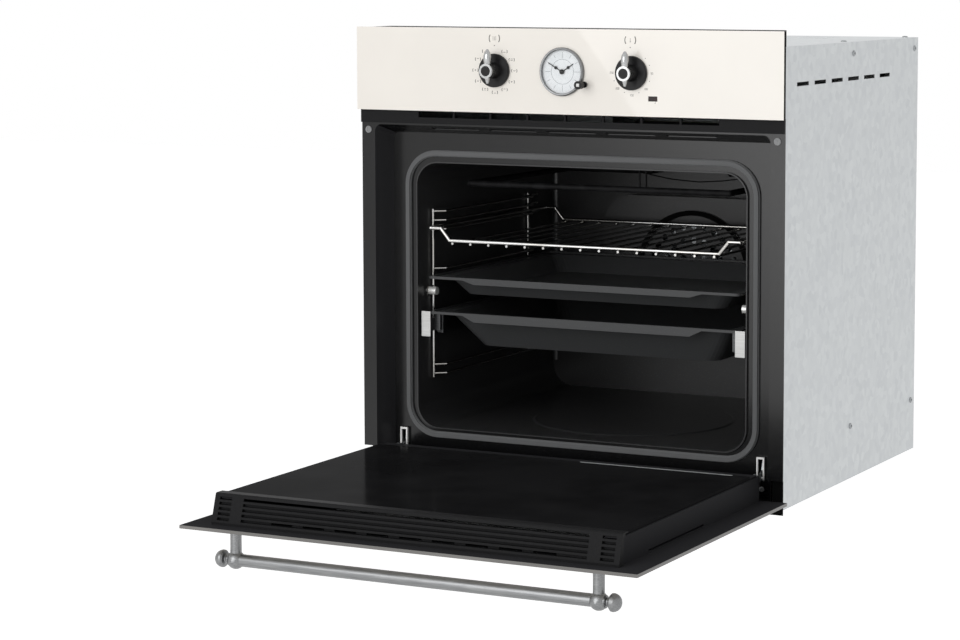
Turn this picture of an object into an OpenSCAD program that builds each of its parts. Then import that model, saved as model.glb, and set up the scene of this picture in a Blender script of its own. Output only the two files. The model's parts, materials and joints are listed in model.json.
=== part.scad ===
// Built-in electric oven with a drop-down door, drawn with the door open.
// X runs across, Y runs into the oven and Z runs up, in millimetres.
// The origin is the centre of the underside.
// Depths are measured back from the face of the control panel, heights from the underside.
// Door pieces are drawn for the closed door, and door_place() turns them down.

/* [Front] */
// Width of the control panel and of the door
front_w = 595; // [593:0.5:597]
// Height of the whole front
front_h = 595; // [594:0.5:597]
// Height of the control panel
panel_h = 107; // [105:0.5:108]
// Depth of the control panel's folded edge
panel_d = 6; // [5.6:0.1:6.2]
// Thickness of the front sheets
sheet = 1.2; // [1:0.1:1.3]
// Height of the vent strip under the control panel
strip_h = 17; // [16.5:0.5:18]
// How far the body's top lies under the panel's top
top_step = 20; // [17:0.5:23]

/* [Frame] */
// Width of the body that goes into the niche
body_w = 558; // [556:0.5:559]
// Depth from the face of the panel to the back
body_d = 545; // [540:1:547]
// Depth of the flange that rests on the cabinet
flange_d = 9.5; // [9:0.1:9.8]
// Depth of the frame's main face round the cavity
recess_d = 45; // [44.5:0.1:45.5]
// Depth of the sill under the door
sill_d = 22.5; // [22:0.1:23]
// Height of the sill
sill_h = 14; // [12:0.5:14.5]

/* [Cavity] */
// Space between the inside of the cavity and the body's side
side_space = 46.5; // [46:0.5:48]
// Space between the cavity's ceiling and the vent strip
roof_space = 53; // [52:0.5:56]
// Height of the cavity floor above the underside
cavity_z = 70; // [69.5:0.5:71]
// Space between the cavity's rear wall and the back of the body
rear_space = 105; // [101:1:108]
// Radius of the round rise in the cavity floor
rise_r = 137; // [120:1:145]
// Corner radius inside the cavity
cavity_r = 30; // [24:1:34]
// Thickness of the enamelled liner
liner_t = 1.5; // [1.2:0.1:1.6]
// Height of the door gasket
gasket_h = 5.5; // [5:0.1:6]

/* [Door] */
// Height of the hinge axis
hinge_z = 40; // [39.5:0.1:40.5]
// Depth of the hinge axis
hinge_d = 27; // [26.7:0.1:27.3]
// Thickness of the outer door panel and of the glass panes
pane_t = 4; // [3.6:0.1:4.2]
// Width of the hollow frames at the door's sides
stile_w = 20.4; // [19.5:0.1:21]
// Radius of the hinge pins
pin_r = 3; // [2.6:0.1:3.2]

/* [Handle] */
// Diameter of the handle bar
bar_dia = 15; // [12:0.5:16]
// Distance of the bar's axis from the door's face
bar_stand = 37.5; // [34:0.5:40]
// Distance between the two handle posts
post_gap = 474.8; // [460:0.2:480]
// Diameter of the balls on the posts
ball_dia = 22; // [20:0.5:24]

/* [Knobs and clock] */
// Distance of each knob from the middle
knob_x = 95.5; // [90:0.5:98]
// Diameter of a knob's black skirt
skirt_dia = 42.5; // [38:0.5:45]
// Diameter of the ring on a knob's lever
ring_dia = 18.6; // [18:0.2:22]
// Diameter of a knob's black hub
hub_dia = 13; // [11:0.5:14]
// Length of a lever's pointer
lever_up = 27.5; // [24:0.5:30]
// Diameter of the clock's bezel
bezel_dia = 61; // [58:0.5:62.5]

/* [Racks and trays] */
// Height of the lowest shelf level over the cavity floor
level_low = 65; // [62:0.5:67]
// Height of the ceiling over the top shelf level
level_top = 91; // [89:0.5:97]
// Radius of the wires that carry shelves
wire_r = 1.75; // [1.5:0.05:1.8]
// Radius of the wire shelf's frame
shelf_r = 2.5; // [2:0.1:2.6]
// Depth of the shallow tray
shallow_h = 22; // [16:0.5:24]
// Depth of the deep tray
deep_h = 45; // [38:0.5:48]
// Thickness of a tray's sheet
tray_t = 1.2; // [1:0.1:1.4]

/* [Casing] */
// Thickness of the galvanised sheets
casing_t = 1; // [0.8:0.1:1.1]
// Thickness of the mineral wool
wool_t = 20; // [16:0.5:20]

/* [Fits] */
// Gap between pieces that move past each other
gap = 0.3; // [0.25:0.05:0.4]
// Radial gap of a shaft in its bore
fit = 0.05; // [0.03:0.01:0.08]

/* [Hidden] */
$fn = 64;
half_w = front_w / 2;
panel_z = front_h - panel_h;
strip_z = panel_z - strip_h;
base_d0 = sill_d + sheet;
base_d1 = body_d - casing_t;
front_y = -(base_d0 + base_d1) / 2;
case_x = body_w / 2 - casing_t;
body_h = front_h - top_step;
flange_x = half_w - 1.5;
flange_z = hinge_z + 5;
frame_top = panel_z + sheet;
plane_back = recess_d + sheet;
edge_d = flange_d + sheet - 0.4;
mouth_x = case_x - sheet;
mouth_top = strip_z - 2.5;
mouth_taper = 7.8;
mouth_drop = 11.5;
bush_x = 286;
bush_z = strip_z - 9.5;
bush_hole_r = 2.25;
cav_x = body_w / 2 - side_space;
cav_top = strip_z - roof_space;
cavity_back = body_d - rear_space;
liner_back = cavity_back + liner_t;
rise_d = cavity_back - 225;
gasket_x = cav_x + 17.5;
gasket_z0 = cavity_z - 13.5;
gasket_z1 = cav_top + 16.5;
fan_z = cav_top - 170;
fan_shaft_r = 4;
fan_r = 66;
ring_r = fan_r + 14;
cover_x = ring_r + 59;
cover_h = ring_r + 24;
cover_d = cavity_back - 28;
heater_r = 3.5;
terminal_r = 2.8;
terminal_z = fan_z - sqrt(ring_r * ring_r - 14 * 14);
heater_d0 = recess_d + 55;
heater_d1 = cavity_back - 40;
floor_x = cav_x - 82.5;
grill_r = 4;
grill_x = cav_x - 47.5;
grill_leg = 60;
grill_z = cav_top - 30;
lamp_x = cav_x - 42.5;
lamp_z = cav_top - 26;
bulb_x = cav_x - 16.5;
bulb_z = cav_top - 38;
door_z0 = hinge_z + 7;
door_z1 = panel_z - 3.5;
window_x = half_w - 107.5;
glass_d1 = recess_d - gasket_h - gap;
glass_d0 = glass_d1 - pane_t;
stile_x = mouth_x - mouth_taper - 5.6;
stile_in = stile_x - stile_w;
stile_z0 = hinge_z + 14;
glass_z0 = stile_z0 + 25;
stile_z1 = mouth_top - mouth_drop - 5;
trim_z1 = stile_z1 + 2;
rib_x = stile_x - 37.4;
glass_z1 = stile_z1 - 5;
hinge_x = cav_x + 21.2;
arm_t = 2.4;
cheek_in = arm_t / 2 + gap;
cheek_out = cheek_in + 1.5;
latch_in = cheek_out + 0.4;
latch_d = recess_d - 4;
bar_z = door_z1 - 29;
post_x = post_gap / 2;
knob_z = panel_z + 53.5;
lamp_win_x = knob_x + 22.5;
lamp_win_z = panel_z + 19;
lamp_win_w = 12.4;
lamp_win_h = 6.3;
spindle_r = 3;
dial_r = bezel_dia / 2 - 2.9;
clock_case_r = dial_r + 0.4;
clock_knob_x = 31;
clock_knob_z = knob_z - 15.5;
collar_r = norm([clock_knob_x, 15.5]) - bezel_dia / 2 - 0.2;
rack_x = cav_x - 2.5;
rack_d0 = recess_d + 34;
rack_d1 = cavity_back - 86;
wire_x = cav_x - 15.5;
wire_z = cavity_z + level_low;
level_h = (cav_top - level_top - wire_z) / 3;
pair_h = 12;
nut_z = wire_z + 2 * level_h - 16;
nut_d0 = rack_d0 - 11.3;
nut_d1 = rack_d1 + 11.3;
shelf_x = wire_x + 2;
shelf_z = wire_z + 3 * level_h + wire_r + gap + shelf_r;
shelf_d0 = recess_d + 8.5;
shelf_d1 = cavity_back - 52;
tray_x = wire_x + 4;
tray_d0 = recess_d + 3;
tray_d1 = cavity_back - 38;
tray_edge = 18;
shallow_z = wire_z + 2 * level_h + wire_r + gap;
rail_x1 = wire_x - wire_r - 0.25;
rail_x0 = rail_x1 - 8.8;
rail_z0 = wire_z + level_h - 6;
rail_z1 = rail_z0 + 24;
rail_d0 = recess_d + 17;
rail_d1 = tray_d1;
deep_z = rail_z1 + 1.7;
deck_z = stile_z1;
duct_z = frame_top - casing_t;
duct_x = case_x - 28;
blower_d = cavity_back - 55;
blower_z = duct_z + 12;
blower_r = 30;
box_x1 = -150;
box_x0 = box_x1 - 80;

// Half width of the recess round the door at a depth
function mouth_half(d) = mouth_x - mouth_taper * (d - flange_d) / (recess_d - flange_d);

// Height of the recess's top at a depth
function mouth_roof(d) = mouth_top - mouth_drop * (d - flange_d) / (recess_d - flange_d);

// Points of an arc about a centre
function arc(cx, cz, r, a0, a1, n) =
    [for (i = [0:n]) let (a = a0 + (a1 - a0) * i / n) [cx + r * cos(a), cz + r * sin(a)]];

// Moves a piece drawn by depth to its place
module in_place() translate([0, front_y, 0]) children();

// Turns a piece of the closed door down about the hinge axis
module door_place()
    translate([0, front_y + hinge_d, hinge_z])
        rotate([90, 0, 0])
            translate([0, -hinge_d, -hinge_z])
                children();

// The same shape on both sides of the middle
module both_sides() {
    children();
    mirror([1, 0, 0]) children();
}

// Box between two corners
module span(x0, x1, d0, d1, z0, z1)
    translate([x0, d0, z0]) cube([x1 - x0, d1 - d0, z1 - z0]);

// Upright plate from an outline seen from the front
module upright(d0, d1) translate([0, d1, 0]) rotate([90, 0, 0]) linear_extrude(d1 - d0) children();

// Length of a section that is seen from the side
module sideways(x0, x1) translate([x0, 0, 0]) rotate([90, 0, 90]) linear_extrude(x1 - x0) children();

// Round bar or bore from front to back
module turned(x, z, d0, d1, r) translate([x, d1, z]) rotate([90, 0, 0]) cylinder(h = d1 - d0, r = r);

// Round bar or bore from left to right
module cross_bar(x0, x1, d, z, r) translate([x0, d, z]) rotate([0, 90, 0]) cylinder(h = x1 - x0, r = r);

// Straight wire between two points
module wire(a, b, r) {
    v = b - a;
    l = norm(v);
    translate(a) rotate([0, acos(v[2] / l), atan2(v[1], v[0])]) cylinder(h = l, r = r, $fn = 32);
}

// Wire through a list of points, with a small swelling at each bend
module bent_wire(points, r) {
    for (i = [0:len(points) - 2]) wire(points[i], points[i + 1], r);
    for (i = [1:len(points) - 2]) translate(points[i]) sphere(r * 1.06, $fn = 32);
}

// Outline with rounded corners
module rounded(x0, x1, z0, z1, r, n = 8)
    polygon(concat(
        arc(x1 - r, z1 - r, r, 0, 90, n),
        arc(x0 + r, z1 - r, r, 90, 180, n),
        arc(x0 + r, z0 + r, r, 180, 270, n),
        arc(x1 - r, z0 + r, r, 270, 360, n)));

// Outline with two rounded corners at the top
module rounded_top(x, z0, z1, r, n = 6)
    polygon(concat([[x, z0]], arc(x - r, z1 - r, r, 0, 90, n), arc(r - x, z1 - r, r, 90, 180, n), [[-x, z0]]));

// Row of upright slots cut from front to back
module slot_row(count, pitch, length, d0, d1, z0, z1)
    for (i = [0:count - 1])
        translate([(i - (count - 1) / 2) * pitch, 0, 0])
            span(-length / 2, length / 2, d0, d1, z0, z1);

// Block of the lamp window's outline, grown by an edge
module lamp_window(d0, d1, edge) span(
    lamp_win_x - edge, lamp_win_x + lamp_win_w + edge, d0, d1,
    lamp_win_z - edge, lamp_win_z + lamp_win_h + edge);

// Cream front with its edges folded back
module control_panel() color("#f3efe8") in_place() difference() {
    span(-half_w, half_w, 0, panel_d, panel_z, front_h);
    span(sheet - half_w, half_w - sheet, sheet, panel_d + 1, panel_z + sheet, front_h - sheet);
    both_sides() turned(knob_x, knob_z, -1, sheet + 1, 5);
    turned(0, knob_z, -1, sheet + 1, clock_case_r + 0.2);
    turned(clock_knob_x, clock_knob_z, -1, sheet + 1, 2.2);
    lamp_window(-1, sheet + 1, 0);
}

// Sheet behind the panel that carries the switches and the clock
// Its top sheet lies level with the panel's top and ends in a lip on the body
module panel_support() color("#232427") in_place() difference() {
    union() {
        span(sheet - half_w, half_w - sheet, panel_d - 1, panel_d, frame_top, front_h - sheet);
        span(-case_x, case_x, panel_d - 0.5, 20, frame_top, frame_top + 1);
        span(-case_x, case_x, panel_d - 0.5, panel_d + 1, front_h - sheet - 2, front_h - sheet);
        span(-case_x, case_x, panel_d, panel_d + 1, front_h - sheet - 2, front_h);
        span(-case_x, case_x, panel_d, panel_d + 50, front_h - 1, front_h);
        span(-case_x, case_x, panel_d + 49, panel_d + 50, body_h, front_h);
    }
    both_sides() turned(knob_x, knob_z, 0, 22, 5);
    turned(0, knob_z, 0, 22, clock_case_r + 0.2);
    turned(clock_knob_x, clock_knob_z, 0, 22, 2.2);
}

// Small dark window over the heating lamp, with a wider foot behind the panel
module indicator_window() color("#2b0d0b") in_place() {
    lamp_window(0.3, sheet, 0);
    lamp_window(sheet, panel_d - 1, 1);
}

// Clock case with its metal bezel
module clock_case() color("#75777a") in_place() translate([0, 0, knob_z]) rotate([90, 0, 0])
    rotate_extrude() polygon([
        [0, -30], [clock_case_r, -30], [clock_case_r, 0], [bezel_dia / 2, 0],
        [bezel_dia / 2, 3], [bezel_dia / 2 - 0.5, 4.1], [bezel_dia / 2 - 1.4, 4.7],
        [bezel_dia / 2 - 2.3, 4.6], [dial_r - 0.3, 4], [dial_r - 0.3, 3.5], [dial_r, 3.5],
        [dial_r, -1], [dial_r - 2.5, -1], [dial_r - 2.5, -29], [0, -29]
    ]);

// White dial with the hole for the arbors
module clock_dial() color("#e7ebee") in_place() difference() {
    turned(0, knob_z, 0, 1, dial_r);
    turned(0, knob_z, -1, 2, 1.7);
}

// Glass over the dial
module clock_glass() color("#e8f0f2", 0.35) in_place() turned(0, knob_z, -3.5, -2.6, dial_r);

// One hand with a small ball along its length
module hand(d, reach) {
    span(-0.5, 0.5, d - 0.4, d, 0, reach);
    turned(0, 10, d - 0.4, d, 2);
    turned(0, 0, d - 0.4, d, 2.6);
}

// Minute hand on the inner arbor
module minute_hand() color("#15161a") in_place() translate([0, 0, knob_z]) {
    rotate([0, 300, 0]) hand(-1.5, 21.6);
    turned(0, 0, -2.3, 9, 0.8);
    turned(0, 0, -2.3, -1.5, 3.2);
}

// Hour hand on the tube round the arbor
module hour_hand() color("#15161a") in_place() translate([0, 0, knob_z]) difference() {
    union() {
        rotate([0, 57, 0]) hand(-0.7, 18.5);
        turned(0, 0, -1.1, 6, 1.65);
    }
    turned(0, 0, -3, 7, 0.8 + fit);
}

// Knob that sets the clock
module clock_knob() color("#1a1b1e") in_place() translate([clock_knob_x, 0, clock_knob_z]) {
    turned(0, 0, -20, -12, 5.2);
    turned(0, 0, -12, 14, 2);
    turned(0, 0, -3, -0.5, collar_r);
}

// Rotary switch behind the left knob
module function_switch() color("#d9d4c4") in_place() translate([-knob_x, 0, knob_z]) difference() {
    union() {
        span(-22, 22, panel_d, 36, -22, 22);
        for (x = [-15, -5, 5, 15]) span(x - 3, x + 3, 36, 44, 8, 9);
    }
    turned(0, 0, 0, 30, spindle_r + fit);
}

// Thermostat with its capillary tube and sensing bulb
module thermostat() color("#c9a36a") in_place() {
    difference() {
        translate([knob_x, 0, knob_z]) span(-20, 20, panel_d, 38, -18, 18);
        turned(knob_x, knob_z, 0, 30, spindle_r + fit);
    }
    bent_wire([
        [knob_x + 10, 37, knob_z - 10], [bulb_x, 70, duct_z + 14], [bulb_x, liner_back + 38, duct_z + 14],
        [bulb_x, liner_back + 38, bulb_z], [bulb_x, cavity_back - 8, bulb_z]
    ], 1);
    translate([bulb_x, cavity_back - 8, bulb_z - 82]) cylinder(h = 84, r = 2.6);
}

// Round black skirt and hub of a knob on its spindle
module knob_base() color("#2b2b2e") {
    difference() {
        union() {
            turned(0, 0, -3.6, -0.5, skirt_dia / 2);
            turned(0, 0, -4.2, -3.6, skirt_dia / 2 - 0.8);
            turned(0, 0, -25.4, -4.2, hub_dia / 2);
            translate([0, -4.2, 0]) rotate([90, 0, 0]) cylinder(h = 7, r1 = 10.5, r2 = 7.6);
        }
        turned(0, 0, -18, 1, spindle_r);
    }
    turned(0, 0, -18, 26, spindle_r);
}

// Metal ring with a bullet-shaped pointer above and a short tail below
module knob_lever() color("#d8d8d6") difference() {
    union() {
        turned(0, 0, -25, -15, ring_dia / 2);
        turned(0, 0, -25.6, -25, ring_dia / 2 - 0.8);
        translate([0, -20, 0]) rotate_extrude() polygon([
            [0, 0], [3.9, 0], [4.1, 9], [5.1, lever_up - 12.5], [5.1, lever_up - 10],
            [4.5, lever_up - 6.5], [3.3, lever_up - 3.6], [1.9, lever_up - 1.2], [0.8, lever_up],
            [0, lever_up]
        ]);
        translate([0, -20, -15.8]) cylinder(h = 15.8, r1 = 1.5, r2 = 5.8);
    }
    turned(0, 0, -30, -10, hub_dia / 2);
}

module function_knob() in_place() translate([-knob_x, 0, knob_z]) knob_base();
module thermostat_knob() in_place() translate([knob_x, 0, knob_z]) knob_base();
module function_lever() in_place() translate([-knob_x, 0, knob_z]) knob_lever();
module thermostat_lever() in_place() translate([knob_x, 0, knob_z]) knob_lever();

// Black strip with the outlet slots for cooling air
module vent_strip() color("#101112") in_place() difference() {
    span(-flange_x, flange_x, flange_d - 3, flange_d, strip_z, panel_z);
    slot_row(8, 52.9, 50.3, 0, 20, strip_z + 8, panel_z - 1.3);
}

// Tapered recess from the flange back to a depth, grown by the sheet
module mouth_solid(d0, d1, grow) hull() for (d = [d0, d1 - 0.01])
    upright(d, d + 0.01)
        rounded_top(mouth_half(d) + grow, sill_h - grow, mouth_roof(d) + grow, 9 + grow);

// Black enamelled frame: flange, recess walls and main face round the cavity
// A shallow groove at the back of the flange takes the edge of each side sheet
module front_frame() color("#1f2022") in_place() difference() {
    union() {
        span(-flange_x, flange_x, flange_d, flange_d + sheet, flange_z, frame_top);
        mouth_solid(flange_d, plane_back, sheet);
    }
    difference() {
        mouth_solid(flange_d - 2, recess_d, 0);
        span(-half_w, half_w, recess_d, recess_d + 9, 0, front_h);
    }
    span(-half_w, half_w, 0, sill_d, -1, flange_z);
    span(-half_w, half_w, 0, recess_d, -1, sill_h);
    upright(recess_d - 1, plane_back + 1)
        rounded(-cav_x - liner_t, cav_x + liner_t, cavity_z - liner_t, cav_top + liner_t, cavity_r + liner_t, 12);
    both_sides() span(hinge_x - 3.4, hinge_x + 3.4, recess_d - 2, plane_back + 2, hinge_z - 4, hinge_z + 27);
    both_sides() turned(bush_x, bush_z, 0, 30, 3.5);
    both_sides() span(case_x - gap, case_x + casing_t + gap, edge_d, plane_back, flange_z - 1, frame_top + 1);
    slot_row(5, 82.8, 66, 20, 28, mouth_top - 14, mouth_top + 6);
    slot_row(8, 52.9, 50.3, 0, 20, strip_z + 8, panel_z - 1.3);
}

// Grey bushes that take the screws into the cabinet
module fixing_bushes() color("#7b7b7b") in_place() both_sides() difference() {
    union() {
        turned(bush_x, bush_z, flange_d - 1.2, flange_d, 4.5);
        turned(bush_x, bush_z, flange_d, flange_d + sheet, 3.5);
    }
    turned(bush_x, bush_z, 0, 30, bush_hole_r);
}

// Black sill under the door with an upright ear at each end
module lower_crossmember() color("#17181a") in_place() {
    span(-case_x - 13, case_x + 13, sill_d, sill_d + sheet, 0, sill_h);
    span(-mouth_half(sill_d), mouth_half(sill_d), sill_d + sheet, recess_d, sill_h - sheet, sill_h);
    both_sides() span(case_x - 1, case_x + 13, sill_d, sill_d + sheet, sill_h, hinge_z + 3);
}

// Round bores in the cavity's rear wall for what passes through it
module rear_bores(d0, d1) {
    both_sides() turned(14, terminal_z, d0, d1, terminal_r);
    both_sides() turned(grill_leg, grill_z, d0, d1, grill_r);
    turned(lamp_x, lamp_z, d0, d1, 17);
}

// Enamelled oven muffle with a low round rise in its floor
module cavity_liner() color("#2a2b2e") in_place() {
    translate([0, rise_d, cavity_z - 0.5]) cylinder(h = 1.7, r1 = rise_r, r2 = rise_r - 5, $fn = 96);
    muffle();
}

module muffle() difference() {
    union() {
        upright(recess_d - 3.5, liner_back)
            rounded(-cav_x - liner_t, cav_x + liner_t, cavity_z - liner_t, cav_top + liner_t, cavity_r + liner_t, 12);
        upright(plane_back, plane_back + liner_t)
            rounded(-cav_x - 10, cav_x + 10, cavity_z - 10, cav_top + 10, cavity_r + 10, 12);
    }
    upright(0, cavity_back) rounded(-cav_x, cav_x, cavity_z, cav_top, cavity_r, 12);
    rear_bores(cavity_back - 1, liner_back + 1);
    turned(0, fan_z, cavity_back - 1, liner_back + 1, fan_shaft_r + 2);
    turned(bulb_x, bulb_z, cavity_back - 1, liner_back + 1, 1.2);
    for (d = [nut_d0, nut_d1]) both_sides() cross_bar(cav_x - 5, cav_x + 5, d, nut_z, 3);
}

// Woven gasket round the cavity mouth
module cavity_gasket() color("#6a6b6c") in_place() {
    difference() {
        upright(recess_d - 3, recess_d) rounded(-gasket_x, gasket_x, gasket_z0, gasket_z1, 45, 12);
        upright(0, recess_d + 1) rounded(8 - gasket_x, gasket_x - 8, gasket_z0 + 8, gasket_z1 - 8, 37, 12);
    }
    difference() {
        upright(recess_d - gasket_h, recess_d - 3)
            rounded(1.2 - gasket_x, gasket_x - 1.2, gasket_z0 + 1.2, gasket_z1 - 1.2, 43.8, 12);
        upright(0, recess_d + 1)
            rounded(6.8 - gasket_x, gasket_x - 6.8, gasket_z0 + 6.8, gasket_z1 - 6.8, 38.2, 12);
    }
}

// Cover in front of the fan, with its round grille and side outlets
module fan_cover() color("#26272a") in_place() difference() {
    union() {
        difference() {
            upright(cover_d, cavity_back) cover_outline(0);
            upright(cover_d + 1.2, cavity_back + 1) cover_outline(1.2);
        }
        difference() {
            turned(0, fan_z, cover_d - 4, cover_d, ring_r + 6);
            turned(0, fan_z, cover_d - 5, cover_d + 1, ring_r - 1);
        }
    }
    for (ring = [[24, 9], [44, 17], [64, 25]])
        for (i = [0:ring[1] - 1])
            turned(
                ring[0] * sin(i * 360 / ring[1]), fan_z + ring[0] * cos(i * 360 / ring[1]),
                cover_d - 4, cover_d + 4, 4.5);
    for (z = [-45:15:30])
        both_sides() span(cover_x - 3, cover_x + 3, cavity_back - 20, cavity_back - 8, fan_z + z, fan_z + z + 7);
}

// Outline of the fan cover, drawn in by an inset
module cover_outline(inset)
    rounded(
        inset - cover_x, cover_x - inset, fan_z - cover_h + inset, fan_z + cover_h - inset,
        44 - inset, 10);

// Circulation fan on its shaft
module fan_wheel() color("#9b9c9e") in_place() translate([0, 0, fan_z]) {
    turned(0, 0, cavity_back - 8, cavity_back - 6.8, fan_r);
    turned(0, 0, cavity_back - 24, cavity_back - 8, 9);
    turned(0, 0, cavity_back - 6.8, cavity_back + 50, fan_shaft_r);
    for (i = [0:11])
        rotate([0, i * 30, 0]) span(-0.6, 0.6, cavity_back - 22, cavity_back - 7.4, 26, fan_r - 2);
}

// Motor behind the rear wall
module fan_motor() color("#8d9094") in_place() translate([0, 0, fan_z]) difference() {
    union() {
        turned(0, 0, liner_back, liner_back + 2, 55);
        turned(0, 0, liner_back + 2, liner_back + 26, 14);
        span(-38, 38, liner_back + 26, liner_back + 56, -34, 34);
        turned(0, 0, liner_back + 56, liner_back + 66, 22);
    }
    turned(0, 0, liner_back - 1, liner_back + 60, fan_shaft_r + fit);
}

// Ring-shaped heater round the fan
module ring_heater() color("#7f7a74") in_place() translate([0, cavity_back - 15, fan_z]) {
    rotate([90, 0, 0]) rotate_extrude() translate([ring_r, 0]) circle(heater_r, $fn = 32);
    both_sides() turned(14, terminal_z - fan_z, 0, 42, terminal_r);
}

// Grill heater under the ceiling, with the two thin legs of its hanger
module grill_heater() color("#6f6b66") in_place() {
    bent_wire([
        [-grill_leg, cavity_back + 30, grill_z], [-grill_leg, heater_d1, grill_z],
        [-grill_x, heater_d1, grill_z], [-grill_x, heater_d0, grill_z],
        [grill_x, heater_d0, grill_z], [grill_x, heater_d1, grill_z],
        [grill_leg, heater_d1, grill_z], [grill_leg, cavity_back + 30, grill_z]
    ], grill_r);
    for (x = [59.9, 69.1]) span(x, x + 1.4, heater_d0 - 1.5, heater_d0 + 1.5, grill_z + 2, cav_top);
}

// Heater under the cavity floor
module floor_heater() color("#6f6b66") in_place() {
    z = cavity_z - liner_t - heater_r;
    bent_wire([
        [-30, cavity_back + 45, z], [-30, heater_d1, z], [-floor_x, heater_d1, z], [-floor_x, heater_d0 + 10, z],
        [floor_x, heater_d0 + 10, z], [floor_x, heater_d1, z], [30, heater_d1, z], [30, cavity_back + 45, z]
    ], heater_r);
}

// Lamp in the rear wall behind its glass
module oven_lamp() color("#e9e6da") in_place() translate([lamp_x, cavity_back, lamp_z]) rotate([90, 0, 0])
    rotate_extrude() polygon([
        [0, -40], [17, -40], [17, 0], [21, 0], [21, 3], [18.5, 9],
        [13, 14], [6, 16], [0, 16]
    ]);

// Side racks of chromed wire, each with its fixing tabs
module side_racks() color("#c9cacb") in_place() both_sides() {
    for (d = [rack_d0, rack_d1]) translate([rack_x, d, wire_z - 5]) cylinder(h = 3 * level_h + 32, r = 2, $fn = 32);
    for (z = [for (k = [0:3]) each [k * level_h, k * level_h + pair_h], 3 * level_h + 2 * pair_h])
        bent_wire([
            [rack_x, rack_d0, wire_z + z], [wire_x, rack_d0 + 11, wire_z + z],
            [wire_x, rack_d1 - 11, wire_z + z], [rack_x, rack_d1, wire_z + z],
            [rack_x, rack_d1 + 27, wire_z + z]
        ], wire_r);
    for (d = [nut_d0, nut_d1]) difference() {
        span(rack_x - 1.5, rack_x, min(d - 6, rack_d1), max(d + 6, rack_d0), nut_z - 6, nut_z + 6);
        cross_bar(rack_x - 5, rack_x + 5, d, nut_z, 3.2);
        if (d == nut_d0) span(rack_x - 5, rack_x + 5, rack_d0, rack_d1, nut_z - 9, nut_z + 9);
    }
}

// Knurled nuts that hold the racks to the cavity walls
module rack_nuts() color("#b9babb") in_place() both_sides() for (d = [nut_d0, nut_d1]) {
    cross_bar(rack_x - 12, rack_x - 1.5, d, nut_z, 5.3);
    cross_bar(rack_x - 1.5, cav_x + liner_t, d, nut_z, 3);
}

// Section of a runner with its lips, between two heights
module channel_section(x0, x1, z0, z1, lip) difference() {
    translate([x0, z0]) square([x1 - x0, z1 - z0]);
    translate([x0 + 0.8, z0 + 0.8]) square([x1 - x0 - 1.6, z1 - z0 - 1.6]);
    translate([x0 + 0.8 + lip, z1 - 2]) square([x1 - x0 - 1.6 - 2 * lip, 4]);
}

// Fixed channels clipped to the inner side of the rack wires
module runner_channels() color("#8b8d90") in_place() both_sides() {
    upright(rail_d0, rail_d1) channel_section(rail_x0, rail_x1, rail_z0, rail_z1, 1.2);
    for (d = [rack_d0 + 31, rack_d1 - 36]) difference() {
        span(rail_x1, wire_x + 2.5, d, d + 8, wire_z + level_h - 4, wire_z + level_h + pair_h + 4);
        for (z = [0, pair_h]) turned(wire_x, wire_z + level_h + z, d - 1, d + 9, wire_r);
    }
}

// Middle rails of the runners
module runner_middle() color("#9c9ea1") in_place() both_sides()
    upright(rail_d0, rail_d1) channel_section(
        rail_x0 + 0.8 + gap, rail_x1 - 0.8 - gap, rail_z0 + 0.8 + gap, rail_z1 - 0.8 - gap, 1);

// Inner rails with the shelf under the tray's rim and the stop plate in front
module runner_inner() color("#c9cbcc") in_place() both_sides() {
    step = 2 * (0.8 + gap);
    xm = (rail_x0 + rail_x1) / 2;
    upright(rail_d0, rail_d1) difference() {
        union() {
            translate([rail_x0 + step, rail_z0 + step]) square([rail_x1 - rail_x0 - 2 * step, 24 - 2 * step]);
            translate([xm - 1.1, rail_z0 + 10]) square([2.2, 24 - 10 + 1]);
        }
    }
    span(rail_x0 + 0.8, tray_x - 5, rail_d0 - 4, rail_d1, rail_z1 + gap, deep_z);
    span(rail_x0 + step, tray_x - 3.3, rail_d0 - 4, rail_d0, rail_z0 + 3, deep_z);
    span(tray_x - 4.6, tray_x - 3.3, tray_d0, rail_d0, rail_z0 + 3, deep_z - 6);
    span(tray_x - 4.6, tray_x + 8.5, tray_d0 - 2, tray_d0, rail_z0 - 4, deep_z + 3.3);
}

// Wire shelf with its dropped front and rear bars
module wire_shelf() color("#cfd0d1") in_place() {
    drop = 15.5;
    pitch = (shelf_x - 33.5) / 7;
    both_sides() wire([shelf_x, shelf_d0, shelf_z], [shelf_x, shelf_d1, shelf_z], shelf_r);
    for (d = [shelf_d0, shelf_d1]) bent_wire([
        [-shelf_x, d, shelf_z], [-shelf_x + 15, d, shelf_z], [-shelf_x + 28, d, shelf_z - drop],
        [shelf_x - 28, d, shelf_z - drop], [shelf_x - 15, d, shelf_z], [shelf_x, d, shelf_z]
    ], shelf_r);
    both_sides() for (d = [shelf_d0, shelf_d1])
        translate([shelf_x, d, shelf_z]) sphere(shelf_r * 1.06, $fn = 32);
    for (i = [-7:7])
        wire([i * pitch, shelf_d0 - 3, shelf_z - drop - 3.6], [i * pitch, shelf_d1 + 3, shelf_z - drop - 3.6], 1.6);
}

// Outline of a tray at one height, as a thin slab
module tray_slab(inset, z)
    translate([0, 0, z]) linear_extrude(0.01)
        rounded(inset - tray_x, tray_x - inset, tray_d0 + inset, tray_d1 - inset, 16, 5);

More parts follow.
